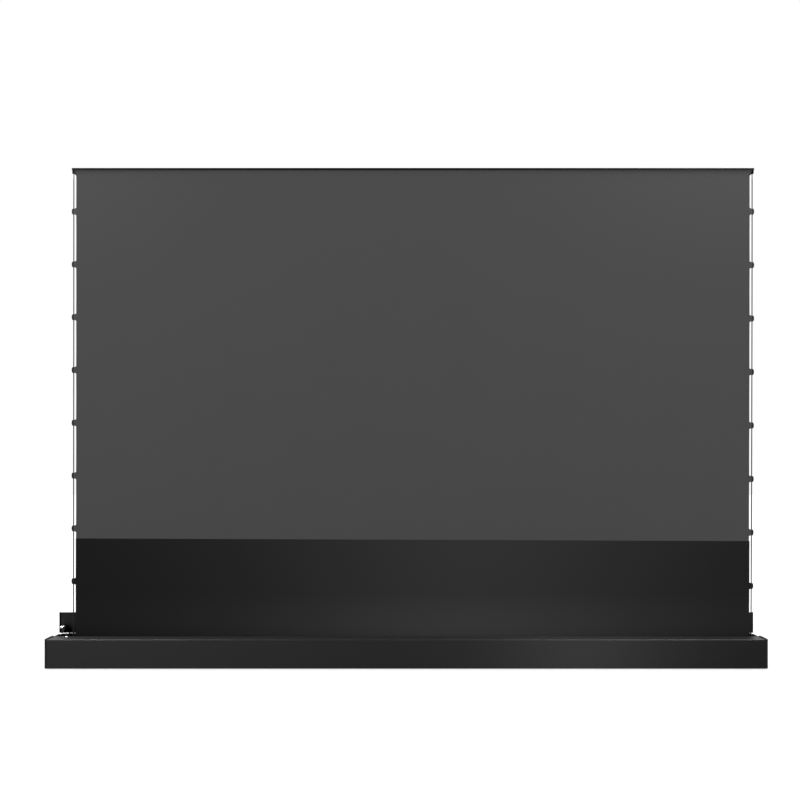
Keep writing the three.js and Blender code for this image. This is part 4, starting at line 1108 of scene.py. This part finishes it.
# %% Screws of the hinge, in every other knuckle of each leaf
HINGE_SCREW = (3 * MM, 1.2 * MM)
KNUCKLE_COUNT = 15
REAR_SCREW_DROP = 16 * MM
LID_SCREW_RISE = 13 * MM
rear_low, rear_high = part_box("rear_panel")
lid_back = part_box("lid_panel")[1].y
segment = (rear_high.x - rear_low.x) / KNUCKLE_COUNT
middles = [rear_low.x + segment * (i + 0.5) for i in range(KNUCKLE_COUNT)]
rear_places = [(x, rear_high.y, rear_high.z - REAR_SCREW_DROP) for x in middles[::2]]
screws("rear_hinge_screws", rear_places, (0, 1, 0), HINGE_SCREW, "case", "black_steel")
lid_places = [(x, lid_back, rear_high.z + LID_SCREW_RISE) for x in middles[1::2]]
screws("lid_hinge_screws", lid_places, (0, 1, 0), HINGE_SCREW, "lid", "black_steel")
print("hinge", len(rear_places), "and", len(lid_places))

# %% Screws of the front strip and the roller's brackets
STRIP_SCREW = (5 * MM, 2.2 * MM)
STRIP_SCREW_X = -1394 * MM
STRIP_SCREW_INSET = 18 * MM
BRACKET_SCREW = (3.2 * MM, 0.9 * MM)
BRACKET_SCREW_DROP = 12 * MM
BRACKET_SCREW_INSET = 10 * MM
panel_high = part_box("front_panel")[1]
strip_places = [(STRIP_SCREW_X, panel_high.y - STRIP_SCREW_INSET, panel_high.z)]
screws("strip_screw_left", strip_places, (0, 0, 1), STRIP_SCREW, "case", "bright_steel")
for side, sign in SIDES.items():
    low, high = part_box(f"roller_bracket_{side}")
    x = low.x if sign < 0 else high.x
    z = high.z - BRACKET_SCREW_DROP
    places = [(x, y, z) for y in (low.y + BRACKET_SCREW_INSET, high.y - BRACKET_SCREW_INSET)]
    screws(f"bracket_screws_{side}", places, (sign, 0, 0), BRACKET_SCREW, "case", "bright_steel")
    print("bracket", side, len(places))

# %% [markdown]
# ## Leads in the case
#
# Two black leads lie on the floor of the case, from the roller's motor and from the lid's motor to
# the control box. The solids have eight flat sides, so they are drawn again as round leads along
# the same points, with a saddle clip over the long one here and there.

# %% The two leads
def smooth_line(corners, per_span):
    """Points on a smooth curve through the corners."""
    line = []
    for i in range(len(corners) - 1):
        a, b = corners[i], corners[i + 1]
        before = corners[i - 1] if i else a + (a - b)
        after = corners[i + 2] if i + 2 < len(corners) else b + (b - a)
        reach = (b - a).length
        tangent_a = (b - before).normalized() * reach
        tangent_b = (after - a).normalized() * reach
        for k in range(per_span):
            t = k / per_span
            h1 = 2 * t**3 - 3 * t**2 + 1
            h2 = t**3 - 2 * t**2 + t
            h3 = -2 * t**3 + 3 * t**2
            h4 = t**3 - t**2
            line.append(h1 * a + h2 * tangent_a + h3 * b + h4 * tangent_b)
    line.append(corners[-1])
    return line


def corners_of(*rows):
    return [Vector(row) * MM for row in rows]


LEAD_Y = 62.6
LEAD_Z = 14.6
SIDE_X = 1443.9
LEADS = {
    "motor_cable": corners_of(
        (SIDE_X, -29.05, 33.7),
        (SIDE_X, -29.05, 26.1),
        (SIDE_X, -17.05, LEAD_Z),
        (SIDE_X, -5.05, LEAD_Z),
        (SIDE_X, 38.6, LEAD_Z),
        (SIDE_X, 50.6, LEAD_Z),
        (1431.9, LEAD_Y, LEAD_Z),
        (1419.9, LEAD_Y, LEAD_Z),
        (1303.2, LEAD_Y, LEAD_Z),
    ),
    "lid_motor_cable": corners_of(
        (-1344, 54, 26.6),
        (-1332, 54, 26.6),
        (-1308, LEAD_Y, LEAD_Z),
        (-1296, LEAD_Y, LEAD_Z),
        (1122.6, LEAD_Y, LEAD_Z),
    ),
}
LEAD_RADIUS = 2.5 * MM
LEAD_SIDES = 12
LEAD_STEPS = 8
for node, corners in LEADS.items():
    name = node.replace("cable", "lead")
    line = smooth_line(corners, LEAD_STEPS)
    lead = new_piece(name, tube_mesh(name, line, LEAD_RADIUS, LEAD_SIDES), "case")
    lead.data.materials.append(finishes["rubber"])
    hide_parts(node)
    print(name, "length", round(sum((b - a).length for a, b in zip(line, line[1:])), 3))

# %% Saddle clips over the long lead
TRAY_TOP = 8.3 * MM
SADDLE_PLACES = (-1200, -800, -400, 0, 400, 800, 1060)
SADDLE_WIDTH = 8 * MM
SADDLE_WALL = 1 * MM
SADDLE_ROOM = 0.2 * MM
SADDLE_INNER = LEAD_RADIUS + SADDLE_ROOM
SADDLE_STEPS = 10


def saddle_outline(reach):
    """One leg up from the tray, over the lead and down again."""
    foot = TRAY_TOP + SADDLE_ROOM
    y, z = LEAD_Y * MM, LEAD_Z * MM
    line = [(y + reach, foot)]
    for k in range(SADDLE_STEPS + 1):
        angle = math.pi * k / SADDLE_STEPS
        line.append((y + reach * math.cos(angle), z + reach * math.sin(angle)))
    line.append((y - reach, foot))
    return line


shape = bmesh.new()
for x in SADDLE_PLACES:
    rings = []
    for dx in (-SADDLE_WIDTH / 2, SADDLE_WIDTH / 2):
        for reach in (SADDLE_INNER, SADDLE_INNER + SADDLE_WALL):
            rings.append([shape.verts.new((x * MM + dx, y, z)) for y, z in saddle_outline(reach)])
    inner_a, outer_a, inner_b, outer_b = rings
    for k in range(len(inner_a) - 1):
        n = k + 1
        shape.faces.new((inner_a[k], inner_a[n], inner_b[n], inner_b[k]))
        shape.faces.new((outer_a[k], outer_b[k], outer_b[n], outer_a[n]))
        shape.faces.new((inner_a[k], outer_a[k], outer_a[n], inner_a[n]))
        shape.faces.new((inner_b[k], inner_b[n], outer_b[n], outer_b[k]))
    for k in (0, -1):
        shape.faces.new((inner_a[k], inner_b[k], outer_b[k], outer_a[k]))
saddles = built_piece("lead_saddles", shape, "case")
saddles.data.materials.append(clip_plastic)
print("saddles", len(SADDLE_PLACES))

# %% [markdown]
# ## Power socket
#
# The mains lead plugs into a socket in the back of the case. Three flat pins stand in its recess.
# Without them the recess reads as a plain hole, so they are made as small rounded blades.

# %% Pins in the socket
inlet_low, inlet_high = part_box("power_inlet")
inlet_x = (inlet_low.x + inlet_high.x) / 2
inlet_z = (inlet_low.z + inlet_high.z) / 2
PIN_SIZE = (2 * MM, 11 * MM, 4 * MM)
PIN_PLACES = ((-7, -1.5), (0, 2), (7, -1.5))
PIN_ROUNDING = 0.5 * MM
RECESS_DEPTH = 16 * MM
pin_y = inlet_high.y - RECESS_DEPTH + PIN_SIZE[1] / 2
shape = bmesh.new()
for dx, dz in PIN_PLACES:
    made = bmesh.ops.create_cube(shape, size=1.0)["verts"]
    bmesh.ops.scale(shape, vec=PIN_SIZE, verts=made)
    place = (inlet_x + dx * MM, pin_y, inlet_z + dz * MM)
    bmesh.ops.translate(shape, vec=place, verts=made)
pins = built_piece("inlet_pins", shape, "case")
pins.data.materials.append(finishes["bright_steel"])
soften(pins, PIN_ROUNDING)
print("pins", len(PIN_PLACES))

# %% [markdown]
# ## Floor and light
#
# The photograph has a plain white ground. The floor is white, and it glows a little where it is
# looked at, so that it still takes the soft shadow of the case. What the camera and mirrors see of
# the surroundings is plain white. The light comes from all round. Two lamps above the case only
# show as highlights: they draw the thin bright lines along it and leave the cloth alone.

# %% Floor
FLOOR_SIZE = 60.0
FLOOR_DROP = 0.2 * MM
FLOOR_GREY = 0.8
FLOOR_GLOW = 0.5


def seen_directly(tree):
    """1 for what the camera or a mirror looks at, and 0 for light that was scattered."""
    ray = add_node(tree, "LightPath").outputs
    seen = math_node(tree, "MAXIMUM", ray["Is Camera Ray"], ray["Is Glossy Ray"])
    return math_node(tree, "MAXIMUM", seen, ray["Is Transmission Ray"])


def plane_mesh(name, size):
    half = size / 2
    corners = [(-half, -half, 0), (half, -half, 0), (half, half, 0), (-half, half, 0)]
    return mesh_of(name, corners, [(0, 1, 2, 3)], smooth=False)


floor = bpy.data.objects.new("floor", plane_mesh("floor", FLOOR_SIZE))
floor.location.z = -FLOOR_DROP
scene.collection.objects.link(floor)
floor_material, floor_tree, floor_shader = empty_material("floor_white")
floor_shader.inputs["Base Color"].default_value = grey(FLOOR_GREY)
floor_shader.inputs["Roughness"].default_value = 0.9
floor_shader.inputs["Specular IOR Level"].default_value = 0.0
floor_shader.inputs["Emission Color"].default_value = grey(1)
floor_glow = math_node(floor_tree, "MULTIPLY", seen_directly(floor_tree), FLOOR_GLOW)
floor_tree.links.new(floor_glow, floor_shader.inputs["Emission Strength"])
floor.data.materials.append(floor_material)
print("floor at", round(floor.location.z, 5))

# %% World
WORLD_LIGHT = 0.82
world = bpy.data.worlds.new("studio")
scene.world = world
world.use_nodes = True
world_tree = world.node_tree
background = world_tree.nodes["Background"]
background.inputs["Color"].default_value = grey(1)
strength = {"Value": seen_directly(world_tree), "To Min": WORLD_LIGHT, "To Max": 1.0}
level = add_node(world_tree, "MapRange", strength).outputs[0]
world_tree.links.new(level, background.inputs["Strength"])
print("world light", WORLD_LIGHT)


# %% Lamps
def soft_lamp(name, place, target, size, power, on_matt=True):
    """A soft lamp in watts. One that isn't on matt surfaces only shows as a highlight."""
    data = bpy.data.lights.new(name, "AREA")
    data.shape = "RECTANGLE"
    data.size, data.size_y = size
    data.energy = power
    lamp = bpy.data.objects.new(name, data)
    lamp.location = place
    lamp.rotation_euler = (Vector(target) - Vector(place)).to_track_quat("-Z", "Y").to_euler()
    lamp.visible_diffuse = on_matt
    scene.collection.objects.link(lamp)
    print("lamp", name, power, "W")


soft_lamp("key", (-3.2, -4.5, 3.6), (0, 0, 0.8), (2.5, 2.5), 60)
soft_lamp("fill", (3.6, -4.0, 2.6), (0, 0, 0.8), (2.5, 2.5), 35)
soft_lamp("over left", (-2.25, -0.09, 3.3), (-1.3, -0.09, 0.1), (0.6, 0.9), 700, on_matt=False)
soft_lamp("over right", (1.69, -0.09, 3.3), (0.95, -0.09, 0.1), (0.6, 0.9), 700, on_matt=False)
soft_lamp("back", (0, 4.0, 3.6), (0, 0, 0.9), (4.0, 1.5), 40)
scene.view_settings.view_transform = "Standard"
